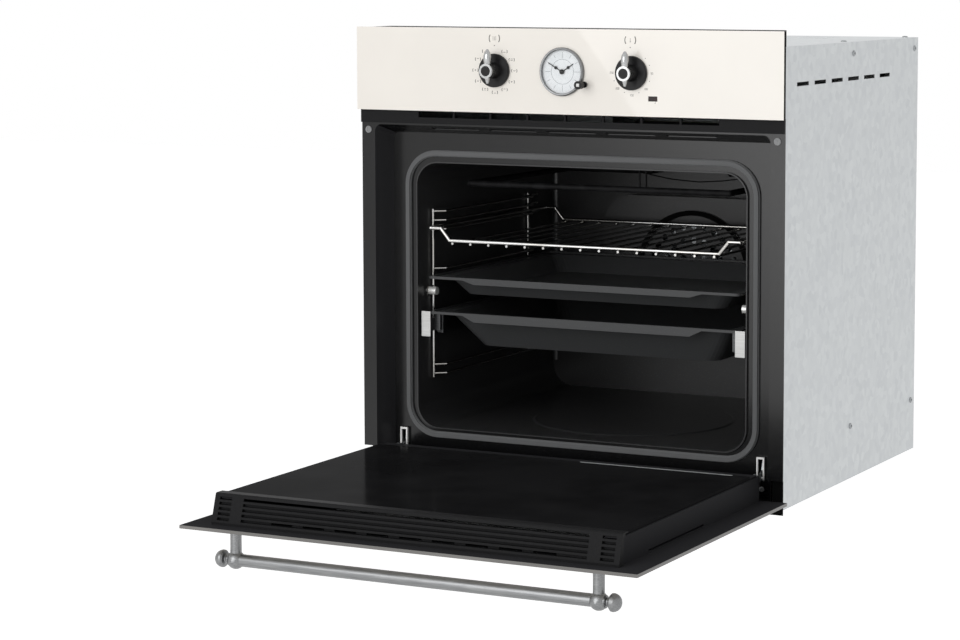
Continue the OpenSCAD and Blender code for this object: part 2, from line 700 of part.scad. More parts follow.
// Tray with a flat rim, a rolled edge and tapered walls
module tray(z, deep, taper, lip) {
    t = tray_t;
    difference() {
        union() {
            translate([0, 0, z]) linear_extrude(t) rounded(-tray_x, tray_x, tray_d0, tray_d1, 6, 5);
            hull() {
                tray_slab(tray_edge, z + t - 0.01);
                tray_slab(tray_edge + taper, z - deep);
            }
        }
        hull() {
            tray_slab(tray_edge + t, z + t + 0.2);
            tray_slab(tray_edge + taper + t, z + t - deep);
        }
    }
    difference() {
        translate([0, 0, z]) linear_extrude(3.3) rounded(-tray_x, tray_x, tray_d0, tray_d1, 6, 5);
        translate([0, 0, z - 1]) linear_extrude(6) rounded(3 - tray_x, tray_x - 3, tray_d0 + 3, tray_d1 - 3, 3, 5);
    }
    upright(tray_d0, tray_d0 + 2) polygon([[-170, z], [-153, z - lip], [153, z - lip], [170, z]]);
}

module shallow_tray() color("#27282b") in_place() tray(shallow_z, shallow_h, 18, 5);
module deep_tray() color("#27282b") in_place() tray(deep_z, deep_h, 33, 8);

// Mineral wool round the liner, with holes for what passes through the back
module insulation() color("#b8ad84") in_place() {
    x1 = cav_x + liner_t;
    z1 = cav_top + liner_t;
    both_sides() span(x1, x1 + wool_t, plane_back + liner_t, cavity_back, hinge_z + 33, z1);
    span(-x1 - wool_t, x1 + wool_t, plane_back + liner_t, cavity_back, z1, z1 + wool_t);
    span(-x1, x1, plane_back + liner_t, cavity_back, hinge_z, cavity_z - liner_t - 2 * heater_r);
    difference() {
        span(-x1, x1, liner_back, liner_back + wool_t, cavity_z, z1);
        rear_bores(cavity_back, liner_back + wool_t + 1);
        turned(0, fan_z, cavity_back, liner_back + wool_t + 1, 55);
        turned(bulb_x, bulb_z, cavity_back, liner_back + wool_t + 1, 1);
    }
}

// Galvanised side sheets, set in the frame's grooves and cut back beside the sill
module side_casings() color("#9fa3a6") in_place() both_sides() difference() {
    span(case_x, case_x + casing_t, edge_d, body_d, 0, body_h);
    span(case_x - 1, case_x + 3, 0, base_d0, -1, flange_z);
    for (i = [0:5]) span(case_x - 1, case_x + 3, 90 + i * 60, 130 + i * 60, body_h - 50, body_h - 45);
}

// Galvanised top sheet with its air slots
module top_casing() color("#a3a7aa") in_place() difference() {
    span(-case_x, case_x, panel_d, base_d1, body_h - casing_t, body_h);
    for (d = [420:18:500]) slot_row(5, 80, 60, d, d + 5, body_h - 5, body_h + 5);
}

// Galvanised rear sheet with louvres and an opening for the terminal box
module rear_casing() color("#9da1a4") in_place() difference() {
    span(-case_x, case_x, base_d1, body_d, casing_t + 0.5, body_h - casing_t);
    for (z = [100:22:400]) slot_row(3, 120, 90, base_d1 - 1, body_d + 1, z, z + 6);
    span(box_x0, box_x1, base_d1 - 1, body_d + 1, body_h - 75, body_h - 25);
}

// Base sheet the oven stands on
module base_plate() color("#999da0") in_place() difference() {
    span(-case_x, case_x, base_d0, body_d, 0, casing_t + 0.5);
    for (d = [150:60:450]) slot_row(3, 120, 80, d, d + 6, -1, 4);
}

// Sheet over the cavity that carries the blower and makes the air duct's floor
module deck_plate() color("#a1a5a8") in_place()
    span(-case_x, case_x, plane_back, liner_back + 28, deck_z, deck_z + sheet);

// Flat air duct with the curved blower housing and its motor
module blower_housing() color("#9ea2a5") in_place() {
    t = casing_t;
    floor_z = deck_z + sheet;
    span(-duct_x, duct_x, flange_d + sheet, blower_d - 36, duct_z, duct_z + t);
    both_sides() span(duct_x - t, duct_x, plane_back + 1, blower_d - 36, floor_z, duct_z);
    both_sides() span(95, duct_x, blower_d - 37, blower_d - 36, floor_z, duct_z);
    sideways(-96, 96) difference() {
        translate([blower_d, blower_z]) circle(39);
        translate([blower_d, blower_z]) circle(38);
        translate([blower_d - 50, blower_z - 50]) square([50, 37.5]);
        translate([blower_d + 8, blower_z + 12]) square(60);
    }
    both_sides() difference() {
        union() {
            cross_bar(95, 96, blower_d, blower_z, 39);
            span(95, 96, blower_d - 37, blower_d + 37, floor_z, blower_z);
        }
        cross_bar(90, 99, blower_d, blower_z, 3 + fit);
    }
    difference() {
        cross_bar(96, 142, blower_d, blower_z, 24);
        cross_bar(90, 120, blower_d, blower_z, 3 + fit);
    }
}

// Crossflow wheel of the cooling blower
module blower_wheel() color("#5c5f63") in_place() translate([0, blower_d, blower_z]) {
    cross_bar(-98, 110, 0, 0, 3);
    for (x = [-91, -1, 89]) cross_bar(x, x + 2, 0, 0, blower_r);
    for (i = [0:15]) rotate([i * 22.5, 0, 0]) span(-91, 91, -0.5, 0.5, 23, 29.5);
}

// Terminal box for the mains lead
module terminal_box() color("#2c2d2f") in_place() difference() {
    span(box_x0, box_x1, body_d - 26, body_d + 2, body_h - 75, body_h - 25);
    span(box_x0 + 3, box_x1 - 3, body_d - 23, body_d - 1, body_h - 72, body_h - 28);
    translate([(box_x0 + box_x1) / 2, body_d - 14, body_h - 80]) cylinder(h = 10, r = 6);
}

// Boxes behind the frame that take the hinge arms
module hinge_receivers() color("#8f9396") in_place() both_sides() {
    difference() {
        span(hinge_x - 8, hinge_x + 8, plane_back, plane_back + 60, hinge_z - 12, hinge_z + 32);
        span(hinge_x - 6.8, hinge_x + 6.8, plane_back - 1, plane_back + 58.8, hinge_z - 10.8, hinge_z + 30.8);
    }
    cross_bar(hinge_x - 6.8, hinge_x + 6.8, plane_back + 16, hinge_z - 2, 3);
}

// Fixed hinge arms from the pins back into the receivers
module hinge_arms() color("#6d7073") in_place() both_sides() difference() {
    sideways(hinge_x - arm_t / 2, hinge_x + arm_t / 2) polygon(concat(
        arc(hinge_d, hinge_z, 6, 90, 270, 12),
        [
            [hinge_d + 9, hinge_z - 4], [hinge_d + 12, hinge_z - 2], [plane_back + 54, hinge_z - 2],
            [plane_back + 54, hinge_z + 14], [plane_back + 10, hinge_z + 22], [plane_back + 3, hinge_z + 22],
            [plane_back, hinge_z + 10], [hinge_d + 12, hinge_z + 6]
        ]));
    cross_bar(hinge_x - 5, hinge_x + 5, hinge_d, hinge_z, pin_r + fit);
    cross_bar(hinge_x - 5, hinge_x + 5, plane_back + 16, hinge_z - 2, 3);
    cross_bar(hinge_x - 5, hinge_x + 5, latch_d, hinge_z + 1, 1.5 + fit);
}

// Wire-like bail that locks a hinge open for taking the door off
module latch() {
    z = hinge_z + 1;
    for (s = [-1, 1]) {
        x = s * (latch_in + 0.9);
        span(x - 0.9, x + 0.9, latch_d - 1.4, latch_d + 1.4, z - 2.5, hinge_z + 27);
    }
    span(-latch_in - 1.8, latch_in + 1.8, latch_d - 1.4, latch_d + 1.4, hinge_z + 24.6, hinge_z + 27);
    cross_bar(-latch_in - 1, latch_in + 1, latch_d, z, 1.5);
}

module latch_left() color("#e4e4e2") in_place() translate([-hinge_x, 0, 0]) latch();
module latch_right() color("#e4e4e2") in_place() translate([hinge_x, 0, 0]) latch();

// Hinge bodies in the door: two cheeks round each arm and a foot in the stile
module hinge_bodies() color("#85888b") door_place() both_sides() {
    foot_d = pane_t + 1.5;
    difference() {
        for (s = [-1, 1]) {
            x = hinge_x + s * (cheek_in + cheek_out) / 2;
            sideways(x - 0.75, x + 0.75) polygon(concat(
                arc(hinge_d, hinge_z, 8, 180, 360, 12),
                [
                    [hinge_d + 6, hinge_z + 16], [hinge_d + 5, hinge_z + 72],
                    [foot_d, hinge_z + 72], [foot_d, hinge_z + 24], [hinge_d - 8, hinge_z + 16]
                ]));
        }
        cross_bar(hinge_x - 5, hinge_x + 5, hinge_d, hinge_z, pin_r);
    }
    span(hinge_x - 8, hinge_x + 8, foot_d, foot_d + 1.5, hinge_z + 26, hinge_z + 72);
}

// Hinge pins
module hinge_pins() color("#b4b6b8") door_place() both_sides()
    cross_bar(hinge_x - cheek_out - 0.3, hinge_x + cheek_out + 0.3, hinge_d, hinge_z, pin_r);

// Outer door panel with its window opening
module door_panel() color("#eae6df") door_place() difference() {
    span(-half_w, half_w, 0, pane_t, door_z0, door_z1);
    upright(-1, pane_t + 1) rounded(-window_x, window_x, door_z0 + 93, door_z1 - 94.5, 20, 8);
}

// Outer glass behind the window opening
module door_window() color("#3a3d40", 0.6) door_place()
    span(-window_x - 15, window_x + 15, pane_t, 2 * pane_t, door_z0 + 78, door_z1 - 80);

// Heat-reflecting glass in the middle of the door
module door_middle_glass() color("#4a4e50", 0.5) door_place()
    span(-stile_in, stile_in, 20, 20 + pane_t, glass_z0, glass_z1);

// Black-edged inner glass of the door
module door_inner_glass() color("#16171a", 0.85) door_place()
    span(2.4 - stile_x, stile_x - 2.4, glass_d0, glass_d1, glass_z0, glass_z1);

// Hollow frames at the door's sides
module door_side_frames() color("#26272a") door_place() both_sides() difference() {
    span(stile_in, stile_x, pane_t, glass_d0, stile_z0, stile_z1);
    span(stile_in + 1.5, stile_x - 1.5, pane_t + 1.5, glass_d0 - 1.5, stile_z0 - 1, stile_z1 + 1);
    span(stile_x - 3, stile_x + 1, pane_t + 1.5, pane_t + 4, hinge_z + 185, hinge_z + 341);
}

// Hollow rail along the hinge side of the door
module door_bottom_rail() color("#202124") door_place() {
    difference() {
        span(-stile_in, stile_in, pane_t, glass_d0, stile_z0, glass_z0);
        span(-stile_in - 1, stile_in + 1, pane_t + 1.5, glass_d0 - 1.5, stile_z0 + 1.5, glass_z0 - 1.5);
    }
    span(2.4 - stile_x, stile_x - 2.4, glass_d0, glass_d0 + 2.3, stile_z0 + 4, glass_z0);
}

// Ribbed trim along the door's free edge, with its air inlets
module door_vent_trim() color("#202124") door_place() difference() {
    front_z = mouth_top - 4.5;
    union() {
        sideways(-stile_x - 2.6, stile_x + 2.6) polygon([
            [pane_t, stile_z1], [pane_t, front_z], [pane_t + 3, front_z],
            [glass_d1, trim_z1], [glass_d1 + 1.2, trim_z1 - 1.5], [glass_d1 + 1.2, trim_z1 - 14],
            [glass_d1, trim_z1 - 14], [glass_d1, glass_z1 + 0.5], [glass_d0, glass_z1 + 0.5],
            [glass_d0, stile_z1]
        ]);
    }
    for (i = [0:4]) {
        d = pane_t + 5.4 + i * 5.9;
        z = front_z - (front_z - trim_z1) * (d - pane_t) / (glass_d1 - pane_t);
        span(-rib_x, rib_x, d, d + 3.4, z - 4.5, z + 5);
        both_sides() span(rib_x + 16, rib_x + 33, d, d + 3.4, z - 4.5, z + 5);
    }
    slot_row(9, 43, 29, pane_t + 5.4, pane_t + 8.8, stile_z1 - 1, front_z + 1);
}

// Posts that hold the bar, each with its ball
module handle_posts() color("#8f9093") door_place() both_sides() difference() {
    union() {
        turned(post_x, bar_z, -bar_stand, 0, 6.75);
        turned(post_x, bar_z, -2, 0, 9);
        translate([post_x, -bar_stand, bar_z]) sphere(ball_dia / 2);
    }
    cross_bar(post_x - 20, post_x + 20, -bar_stand, bar_z, bar_dia / 2);
}

// Handle bar with a turned finial at each end
module handle_bar() color("#8f9093") door_place() translate([0, -bar_stand, bar_z]) {
    cross_bar(-post_x - 9, post_x + 9, 0, 0, bar_dia / 2);
    both_sides() translate([post_x + 9, 0, 0]) rotate([0, 90, 0]) rotate_extrude() polygon([
        [0, -1], [6.8, -1], [6.8, 0.6], [4.6, 1.8], [4.2, 3.4], [5, 4.6], [8.6, 5.6], [10.4, 7.4],
        [10.6, 9.6], [10, 12], [8.6, 14.6], [6.2, 16.8], [3.2, 18.2], [0, 18.8]
    ]);
}

control_panel();
panel_support();
indicator_window();
clock_case();
clock_dial();
clock_glass();
clock_knob();
minute_hand();
hour_hand();
function_switch();
thermostat();
function_knob();
function_lever();
thermostat_knob();
thermostat_lever();
vent_strip();
front_frame();
fixing_bushes();
lower_crossmember();
cavity_liner();
cavity_gasket();
fan_cover();
fan_wheel();
fan_motor();
ring_heater();
grill_heater();
floor_heater();
oven_lamp();
side_racks();
rack_nuts();
runner_channels();
runner_middle();
runner_inner();
wire_shelf();
shallow_tray();
deep_tray();
insulation();
side_casings();
top_casing();
rear_casing();
base_plate();
deck_plate();
blower_housing();
blower_wheel();
terminal_box();
hinge_receivers();
hinge_arms();
latch_left();
latch_right();
hinge_bodies();
hinge_pins();
door_panel();
door_window();
door_middle_glass();
door_inner_glass();
door_side_frames();
door_bottom_rail();
door_vent_trim();
handle_posts();
handle_bar();
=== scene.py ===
# %% [markdown]
# A built-in oven, dressed for a product photograph
#
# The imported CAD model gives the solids, and they stay as they are. This script gives each
# of them its finish, adds the small pieces that CAD leaves out, and sets up the camera and
# the studio. Blender counts in metres. A value whose name ends in _mm or _MM is in
# millimetres, because an oven's drawings are. Places are measured from the CAD model
# where they can be, so that the dressing follows it when a size changes.

import json
import math

import bmesh
import bpy
from mathutils import Matrix, Vector


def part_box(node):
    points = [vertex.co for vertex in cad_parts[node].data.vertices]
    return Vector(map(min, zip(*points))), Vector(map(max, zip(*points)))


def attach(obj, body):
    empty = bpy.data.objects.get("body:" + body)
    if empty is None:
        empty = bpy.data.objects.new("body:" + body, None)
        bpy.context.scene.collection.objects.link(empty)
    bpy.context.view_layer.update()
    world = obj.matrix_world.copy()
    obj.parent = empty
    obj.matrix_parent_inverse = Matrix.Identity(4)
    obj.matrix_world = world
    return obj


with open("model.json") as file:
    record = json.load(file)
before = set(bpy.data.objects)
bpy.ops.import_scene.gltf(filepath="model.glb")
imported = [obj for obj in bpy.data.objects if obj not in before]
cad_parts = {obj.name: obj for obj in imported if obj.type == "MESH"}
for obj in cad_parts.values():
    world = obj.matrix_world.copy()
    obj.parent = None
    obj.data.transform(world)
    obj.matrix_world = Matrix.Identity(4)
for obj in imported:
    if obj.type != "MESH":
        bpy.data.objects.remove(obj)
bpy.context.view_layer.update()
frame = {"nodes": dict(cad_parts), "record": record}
record = frame["record"]

# %% [markdown]
# The camera
#
# The photograph looks at the oven from its right and a little from above, from about
# three and a half metres, so the upright edges stay nearly parallel. A camera can be
# placed by eye, but a fit is surer. First a level camera was fitted to the edges of the
# front and the door in the photograph. This one looks a little down, and was then fitted
# to where the level one sees the front, the cavity and the door. A lens shift slides the
# picture without turning the camera. It moves the oven to the right and up by a tenth of
# the picture's width, so the camera has to look down less.

# %% Set up the camera
IMAGE_WIDTH_PX = 960
SENSOR_MM = 36.0


def make_camera(place, yaw_deg, pitch_deg, focal_px, shift):
    """Camera that looks into the oven, turned left by yaw and down by pitch."""
    data = bpy.data.cameras.new("photo_camera")
    data.sensor_width = SENSOR_MM
    data.lens = focal_px * SENSOR_MM / IMAGE_WIDTH_PX
    data.shift_x, data.shift_y = shift
    made = bpy.data.objects.new("photo_camera", data)
    made.location = place
    made.rotation_euler = (math.radians(90 - pitch_deg), 0, math.radians(yaw_deg))
    bpy.context.scene.collection.objects.link(made)
    bpy.context.scene.camera = made
    return made


camera = make_camera(
    place=(1.5125, -3.3326, 0.6750),
    yaw_deg=26.1,
    pitch_deg=5.45,
    focal_px=2720,
    shift=(-0.1, -0.1),
)
print("lens:", round(camera.data.lens, 1), "mm")

# %% [markdown]
# Colours and scales
#
# Colours are written as they look on a screen, as hex codes. A renderer adds up light in
# linear values, so one function turns the codes into those. Patterns are placed by the
# piece's own coordinates, which are in metres. So a pattern's scale follows from its real
# size, and no piece needs to be unwrapped.

# %% Helpers for colours and scales


def linear(hex_code):
    """Linear colour with alpha from an sRGB hex code."""
    parts = [int(hex_code[i : i + 2], 16) / 255 for i in (1, 3, 5)]
    return [*(p / 12.92 if p <= 0.04045 else ((p + 0.055) / 1.055) ** 2.4 for p in parts), 1.0]


def per_mm(size_mm):
    """Texture scale at which a pattern repeats about once in that many millimetres."""
    return 1000.0 / size_mm


print("cream in linear light:", [round(v, 3) for v in linear("#f1ece4")])
print("scale of a 3 mm pattern:", round(per_mm(3), 1))

# %% [markdown]
# The nodes of a finish
#
# Each finish is a small graph of nodes that feed one principled shader. It could be drawn
# by hand in the shader editor, but written out it can be read and compared. One function
# adds any kind of node, sets its sockets and links others into it. Three more say what
# a pattern does to the surface: it tints it, varies its roughness, or raises it.

# %% Helpers for finishes


def add_node(tree, kind, inputs=None, **settings):
    """Adds a node. An input is a value, or the socket that feeds it."""
    made = tree.nodes.new("ShaderNode" + kind)
    for name, value in settings.items():
        setattr(made, name, value)
    for name, value in (inputs or {}).items():
        if isinstance(value, bpy.types.NodeSocket):
            tree.links.new(value, made.inputs[name])
        else:
            made.inputs[name].default_value = value
    return made


def new_finish(name, colour, **sockets):
    """Material with one shader. Returns it, its tree, its shader and the place on the piece."""
    material = bpy.data.materials.new(name)
    material.use_nodes = True
    tree = material.node_tree
    shader = tree.nodes["Principled BSDF"]
    shader.inputs["Base Color"].default_value = linear(colour)
    for socket, value in sockets.items():
        shader.inputs[socket.replace("_", " ")].default_value = value
    place = add_node(tree, "TexCoord").outputs["Object"]
    return material, tree, shader, place


def two_tone(tree, shader, factor, dark, light, low=0.4, high=0.6):
    """Base colour that goes from dark to light as a pattern goes from low to high."""
    share = add_node(tree, "MapRange", {"Value": factor, "From Min": low, "From Max": high})
    colours = {0: share.outputs[0], 6: linear(dark), 7: linear(light)}
    mix = add_node(tree, "Mix", colours, data_type="RGBA")
    tree.links.new(mix.outputs[2], shader.inputs["Base Color"])


def vary_roughness(tree, shader, factor, low, high):
    """Roughness that follows a pattern between two values."""
    spread = add_node(tree, "MapRange", {"Value": factor, "To Min": low, "To Max": high})
    tree.links.new(spread.outputs[0], shader.inputs["Roughness"])


def raise_surface(tree, shader, height, depth_mm):
    """Bump of a real depth from a pattern of heights."""
    bump = add_node(tree, "Bump", {"Height": height, "Distance": depth_mm / 1000, "Strength": 1.0})
    tree.links.new(bump.outputs[0], shader.inputs["Normal"])


FINISHES = {}
print("helpers ready, finishes so far:", len(FINISHES))

# %% [markdown]
# Cream enamel
#
# An oven's visible steel is enamelled: ground glass is sprayed on and fired at over 800
# degrees, where it melts to a hard coat. It levels as it melts but keeps a slight orange
# peel. One glossy shader would do, but then the body colour and the skin share one
# roughness. A clear coat over a soft base keeps them apart, so the soft box shows in the
# front sheet as a faint bright field. A cut edge takes less enamel and looks greyer.

# %% Cream enamel of the front sheets


def pale_enamel(name, dark, light, coat):
    # Sprayed, fired glass: pale and even, with a glossy skin over a soft body colour.
    # The tone drifts over 90 mm, and the peel's bumps are 3 mm wide
    material, tree, shader, place = new_finish(
        name, dark, Roughness=0.35, Coat_Weight=coat, Coat_Roughness=0.02, Coat_IOR=1.5)
    cloud = add_node(tree, "TexNoise", {"Vector": place, "Scale": per_mm(90), "Detail": 3.0})
    two_tone(tree, shader, cloud.outputs[0], dark, light)
    peel = add_node(tree, "TexNoise", {"Vector": place, "Scale": per_mm(3), "Detail": 2.0})
    raise_surface(tree, shader, peel.outputs[0], 0.002)
    return material


FINISHES["cream_enamel"] = pale_enamel(
    "Cream_enamel_sprayed_and_fired", "#f1ece4", "#f3eee6", 0.6)
FINISHES["edge_enamel"] = pale_enamel(
    "Thin_grey_enamel_on_a_cut_edge", "#6a6865", "#74726f", 0.2)
print("front sheets:", FINISHES["cream_enamel"].name)

# %% [markdown]
# Black enamels
#
# Black enamel isn't one black. The frame's is smooth and mirrors the room, the muffle's
# is speckled and greyer, and the trays' ground coat is greyer still. One function serves
# them all, because only the glass recipe differs. The studio is white all round, and at
# a flat angle it would turn a black sheet grey. So the matt ones that lie that way, on
# the door and the sill, get far less gloss than the frame.

# %% Black enamels of frame, muffle, trays and door


def black_enamel(name, ground, speck, roughness, ior, gloss=0.5, speck_mm=3.0):
    # Fired glass with specks: the eye reads depth from the specks under the gloss.
    # Real specks are about 0.3 mm, drawn ten times as coarse so that they show.
    # The peel's bumps are 4 mm wide
    material, tree, shader, place = new_finish(
        name, ground, IOR=ior, Specular_IOR_Level=gloss)
    specks = add_node(tree, "TexVoronoi", {"Vector": place, "Scale": per_mm(speck_mm)})
    two_tone(tree, shader, specks.outputs["Distance"], speck, ground, 0.08, 0.22)
    peel = add_node(tree, "TexNoise", {"Vector": place, "Scale": per_mm(4), "Detail": 3.0})
    vary_roughness(tree, shader, peel.outputs[0], roughness - 0.04, roughness + 0.04)
    raise_surface(tree, shader, peel.outputs[0], 0.006)
    return material


FINISHES["black_enamel"] = black_enamel(
    "Black_enamel_fired_on_the_frame", "#0c0c0d", "#1c1d1e", 0.2, 1.42)
FINISHES["muffle_enamel"] = black_enamel(
    "Speckled_enamel_fired_on_the_muffle", "#303031", "#454647", 0.3, 1.45, 0.4)
FINISHES["tray_enamel"] = black_enamel(
    "Grey_black_enamel_fired_on_trays", "#434445", "#505253", 0.34, 1.45, 0.3)
FINISHES["matt_enamel"] = black_enamel(
    "Matt_black_enamel_of_the_door_frame", "#2e2e30", "#373738", 0.5, 1.45, 0.02)
FINISHES["door_back_enamel"] = black_enamel(
    "Matt_black_ground_coat_of_the_door_sheet", "#343436", "#3d3d3f", 0.6, 1.45, 0.001)
# Matt black ground coat of the sill and the clock's hands. The same black is also painted shade on
# the fan cover's ring, the front sheet's folds, the deck's front and the panel's support box.
FINISHES["matt_black_and_painted_shade"] = black_enamel(
    "Matt_black_ground_coat_and_painted_shade", "#0e0e0e", "#141414", 0.6, 1.45, 0.02)
# The frame's black enamel drawn lighter on the recess walls, as painted light.
FINISHES["recess_lit_enamel"] = black_enamel(
    "Thin_black_enamel_on_the_recess_walls", "#333335", "#3c3c3e", 0.3, 1.42)
# Lighter than the muffle's enamel, as a painted highlight on the rounded rear seams.
FINISHES["seam_highlight_enamel"] = black_enamel(
    "Muffle_enamel_lightened_as_painted_highlight_in_rear_seams", "#3c3d3e", "#46474a", 0.25, 1.5)
print("enamels so far:", len(FINISHES))

# %% [markdown]
# Inks
#
# The marks on the front are screen printed with a coloured glass paste and fired, so they
# are an enamel too, and the dial's print is close enough to share it. They could be
# painted into a texture, but as thin pieces of their own they stay sharp from any
# distance. Their grain is 1 mm, finer than an enamel's, since the lines are so narrow.

# %% Inks of the front and the dial
INK_GRAIN_MM = 1.0
FINISHES["print_ink"] = black_enamel(
    "Screen_printed_ink_fired_on_enamel", "#3f3d39", "#494743", 0.5, 1.5, 0.5, INK_GRAIN_MM)
FINISHES["dial_ink"] = black_enamel(
    "Grey_ink_printed_on_the_dial", "#8b9296", "#92999d", 0.5, 1.5, 0.5, INK_GRAIN_MM)
print("inks:", FINISHES["print_ink"].name, FINISHES["dial_ink"].name)

# %% [markdown]
# Plastics
#
# The knobs are moulded in a heat-proof phenolic, with a satin skin that scatters
# a highlight softly. The door's trim is plainer and matt. Switch housings are a bone
# coloured, ceramic-filled plastic. All come out of a mould, so their grain is the fine
# texture of the mould's wall, and one function with a few numbers makes them all.

# %% Moulded plastics


def moulded(name, dark, light, roughness, ior, gloss=0.5, grain_mm=1.5, depth_mm=0.01):
    # Moulded skin: an even tone with a fine grain that breaks up the highlight.
    # A mould's grain is about 0.3 mm, drawn at 1.5 mm and more so that it shows
    material, tree, shader, place = new_finish(name, dark, IOR=ior, Specular_IOR_Level=gloss)
    grain = add_node(
        tree, "TexNoise", {"Vector": place, "Scale": per_mm(grain_mm), "Detail": 4.0})
    two_tone(tree, shader, grain.outputs[0], dark, light)
    vary_roughness(tree, shader, grain.outputs[0], roughness - 0.07, roughness + 0.07)
    raise_surface(tree, shader, grain.outputs[0], depth_mm)
    return material


FINISHES["black_plastic"] = moulded(
    "Black_polyamide_moulded_matt", "#1b1b1c", "#212122", 0.5, 1.5, 0.07)
FINISHES["knob_black"] = moulded(
    "Black_phenolic_moulded_satin", "#111112", "#181819", 0.36, 1.6, 0.16, 4.0)
FINISHES["switch_plastic"] = moulded(
    "Bone_ceramic_filled_plastic_moulded", "#cfc8b4", "#dcd7c6", 0.55, 1.55, 0.5, 5.0)
FINISHES["grey_bush"] = moulded(
    "Grey_polyamide_bush_moulded", "#777879", "#868788", 0.45, 1.5, 0.5, 2.0)
# The lamp's window is polished, so its skin is raised a tenth as much as a plain one
FINISHES["window_red"] = moulded(
    "Dark_red_polycarbonate_polished", "#261b1b", "#301d1d", 0.15, 1.585, 0.16, 8.0, 0.001)
print("knobs:", FINISHES["knob_black"].name)

# %% [markdown]
# Galvanised sheet
#
# The body is hot-dip galvanised sheet, whose zinc freezes in flat crystals. A noise would
# look like dirt there. Voronoi cells have straight borders as crystals do, and each cell
# hands out its own random colour, so one channel of it gives the crystal's grey and
# another its roughness. Metals keep the default index of refraction, and their colour
# carries the look.

# %% Galvanised sheet of the body


def galvanised():
    # Hot-dip zinc: a patchwork of greys in which each crystal catches the light its own
    # way. The crystals are 9 mm wide, as on common sheet
    material, tree, shader, place = new_finish(
        "Galvanised_steel_hot_dipped_spangled", "#c6c9ca", Metallic=1.0, Roughness=0.45)
    flakes = add_node(tree, "TexVoronoi", {"Vector": place, "Scale": per_mm(9)})
    grey = add_node(tree, "SeparateColor", {"Color": flakes.outputs["Color"]})
    two_tone(tree, shader, grey.outputs[0], "#c3c6c8", "#cbcecf", 0.0, 1.0)
    vary_roughness(tree, shader, grey.outputs[1], 0.42, 0.5)
    fine = add_node(tree, "TexNoise", {"Vector": place, "Scale": per_mm(3), "Detail": 3.0})
    raise_surface(tree, shader, fine.outputs[0], 0.008)
    return material


FINISHES["galvanised"] = galvanised()
print("sheet:", FINISHES["galvanised"].name)

# %% [markdown]
# Brushed metals
#
# Handle and bezel have an antique pewter finish: nickel is plated, darkened and brushed
# back. Brushing leaves lines all one way. An anisotropic shader could spread the
# highlight across them, but noise that is stretched along the bar does it as well here,
# and also gives the streaks of tone that the darkening leaves between the lines.

# %% Brushed and polished metals
ALONG_BAR = (0.04, 1.0, 1.0)


def brushed(name, dark, light, roughness):
    # Brushed along X: long fine lines that draw a highlight out across them.
    # Real lines are about 0.1 mm apart, drawn at 1.2 mm so that they show
    material, tree, shader, place = new_finish(name, light, Metallic=1.0)
    stretched = add_node(tree, "Mapping", {"Vector": place, "Scale": ALONG_BAR}).outputs[0]
    lines = add_node(
        tree, "TexNoise", {"Vector": stretched, "Scale": per_mm(1.2), "Detail": 4.0})
    two_tone(tree, shader, lines.outputs[0], dark, light, 0.3, 0.7)
    vary_roughness(tree, shader, lines.outputs[0], roughness - 0.06, roughness + 0.06)
    raise_surface(tree, shader, lines.outputs[0], 0.004)
    return material


FINISHES["pewter_steel"] = brushed(
    "Antique_pewter_plated_and_brushed", "#767779", "#8f9090", 0.34)
FINISHES["polished_metal"] = brushed(
    "Zinc_casting_polished_and_chromed", "#a3a4a4", "#b5b6b6", 0.2)
FINISHES["steel"] = brushed("Cold_rolled_steel_zinc_plated", "#8d9092", "#aaadaf", 0.36)
# The runner rails are oiled steel, drawn darker as painted shade.
FINISHES["shaded_rail_steel"] = brushed("Runner_rail_oiled_steel_with_painted_shade", "#414243", "#555657", 0.36)
FINISHES["stop_plate"] = brushed("Runner_stop_plate_zinc_plated", "#a2a2a1", "#b2b2b1", 0.4)
FINISHES["inset_metal"] = brushed("Knob_inset_satin_aluminium", "#a2a2a1", "#b0b0af", 0.4)
print("handle:", FINISHES["pewter_steel"].name)

# %% [markdown]
# Wires and heating tubes
#
# The racks are chromed wire, drawn, bent and then plated. So they have no grain, only
# a faint drift of the straw tint that heat gives chrome. The heating elements are nickel
# alloy tubes whose skin has oxidised to a dark, dry grey. Their bare metal is covered,
# so they aren't metallic here, and a mottle of scale replaces the shine.

# %% Wires and heating tubes


def drawn_wire(name, dark, light, roughness, metallic=1.0):
    # Plated wire: bright and hard, its tone drifting slowly over 60 mm of its length
    material, tree, shader, place = new_finish(name, light, Metallic=metallic)
    tint = add_node(tree, "TexNoise", {"Vector": place, "Scale": per_mm(60), "Detail": 3.0})
    two_tone(tree, shader, tint.outputs[0], dark, light)
    vary_roughness(tree, shader, tint.outputs[0], roughness - 0.05, roughness + 0.05)
    return material


def heater_tube():
    # Oxide skin: almost black, dry, with a faint mottle of scale in flakes of 14 mm
    material, tree, shader, place = new_finish(
        "Heater_tube_oxidised_nickel_alloy", "#191919", Specular_IOR_Level=0.08)
    scale = add_node(tree, "TexNoise", {"Vector": place, "Scale": per_mm(14), "Detail": 5.0})
    two_tone(tree, shader, scale.outputs[0], "#141415", "#1f1f20")
    vary_roughness(tree, shader, scale.outputs[0], 0.45, 0.62)
    raise_surface(tree, shader, scale.outputs[0], 0.02)
    return material


FINISHES["chrome_wire"] = drawn_wire(
    "Chromed_wire_drawn_and_plated", "#b4b2ae", "#c2c2c1", 0.18)
# The bails are only partly metallic, which keeps them pale from every side
FINISHES["latch_wire"] = drawn_wire(
    "Latch_bail_bright_zinc_plated", "#ececea", "#f6f6f4", 0.35, 0.4)
FINISHES["heater_tube"] = heater_tube()
print("racks:", FINISHES["chrome_wire"].name)

# %% [markdown]
# Glass
#
# The clock's lens is drawn by its transparency alone, because a thin pane hardly bends
# light, and real refraction would only add noise. The door's inner pane has a black print
# fired on it and a coating against heat. Real glass would mirror the white studio at this
# flat angle and turn grey, so its gloss is kept far lower than glass has, and it stays
# the deep black that a dim kitchen gives it.

# %% Panes of the door, the lamp and the clock


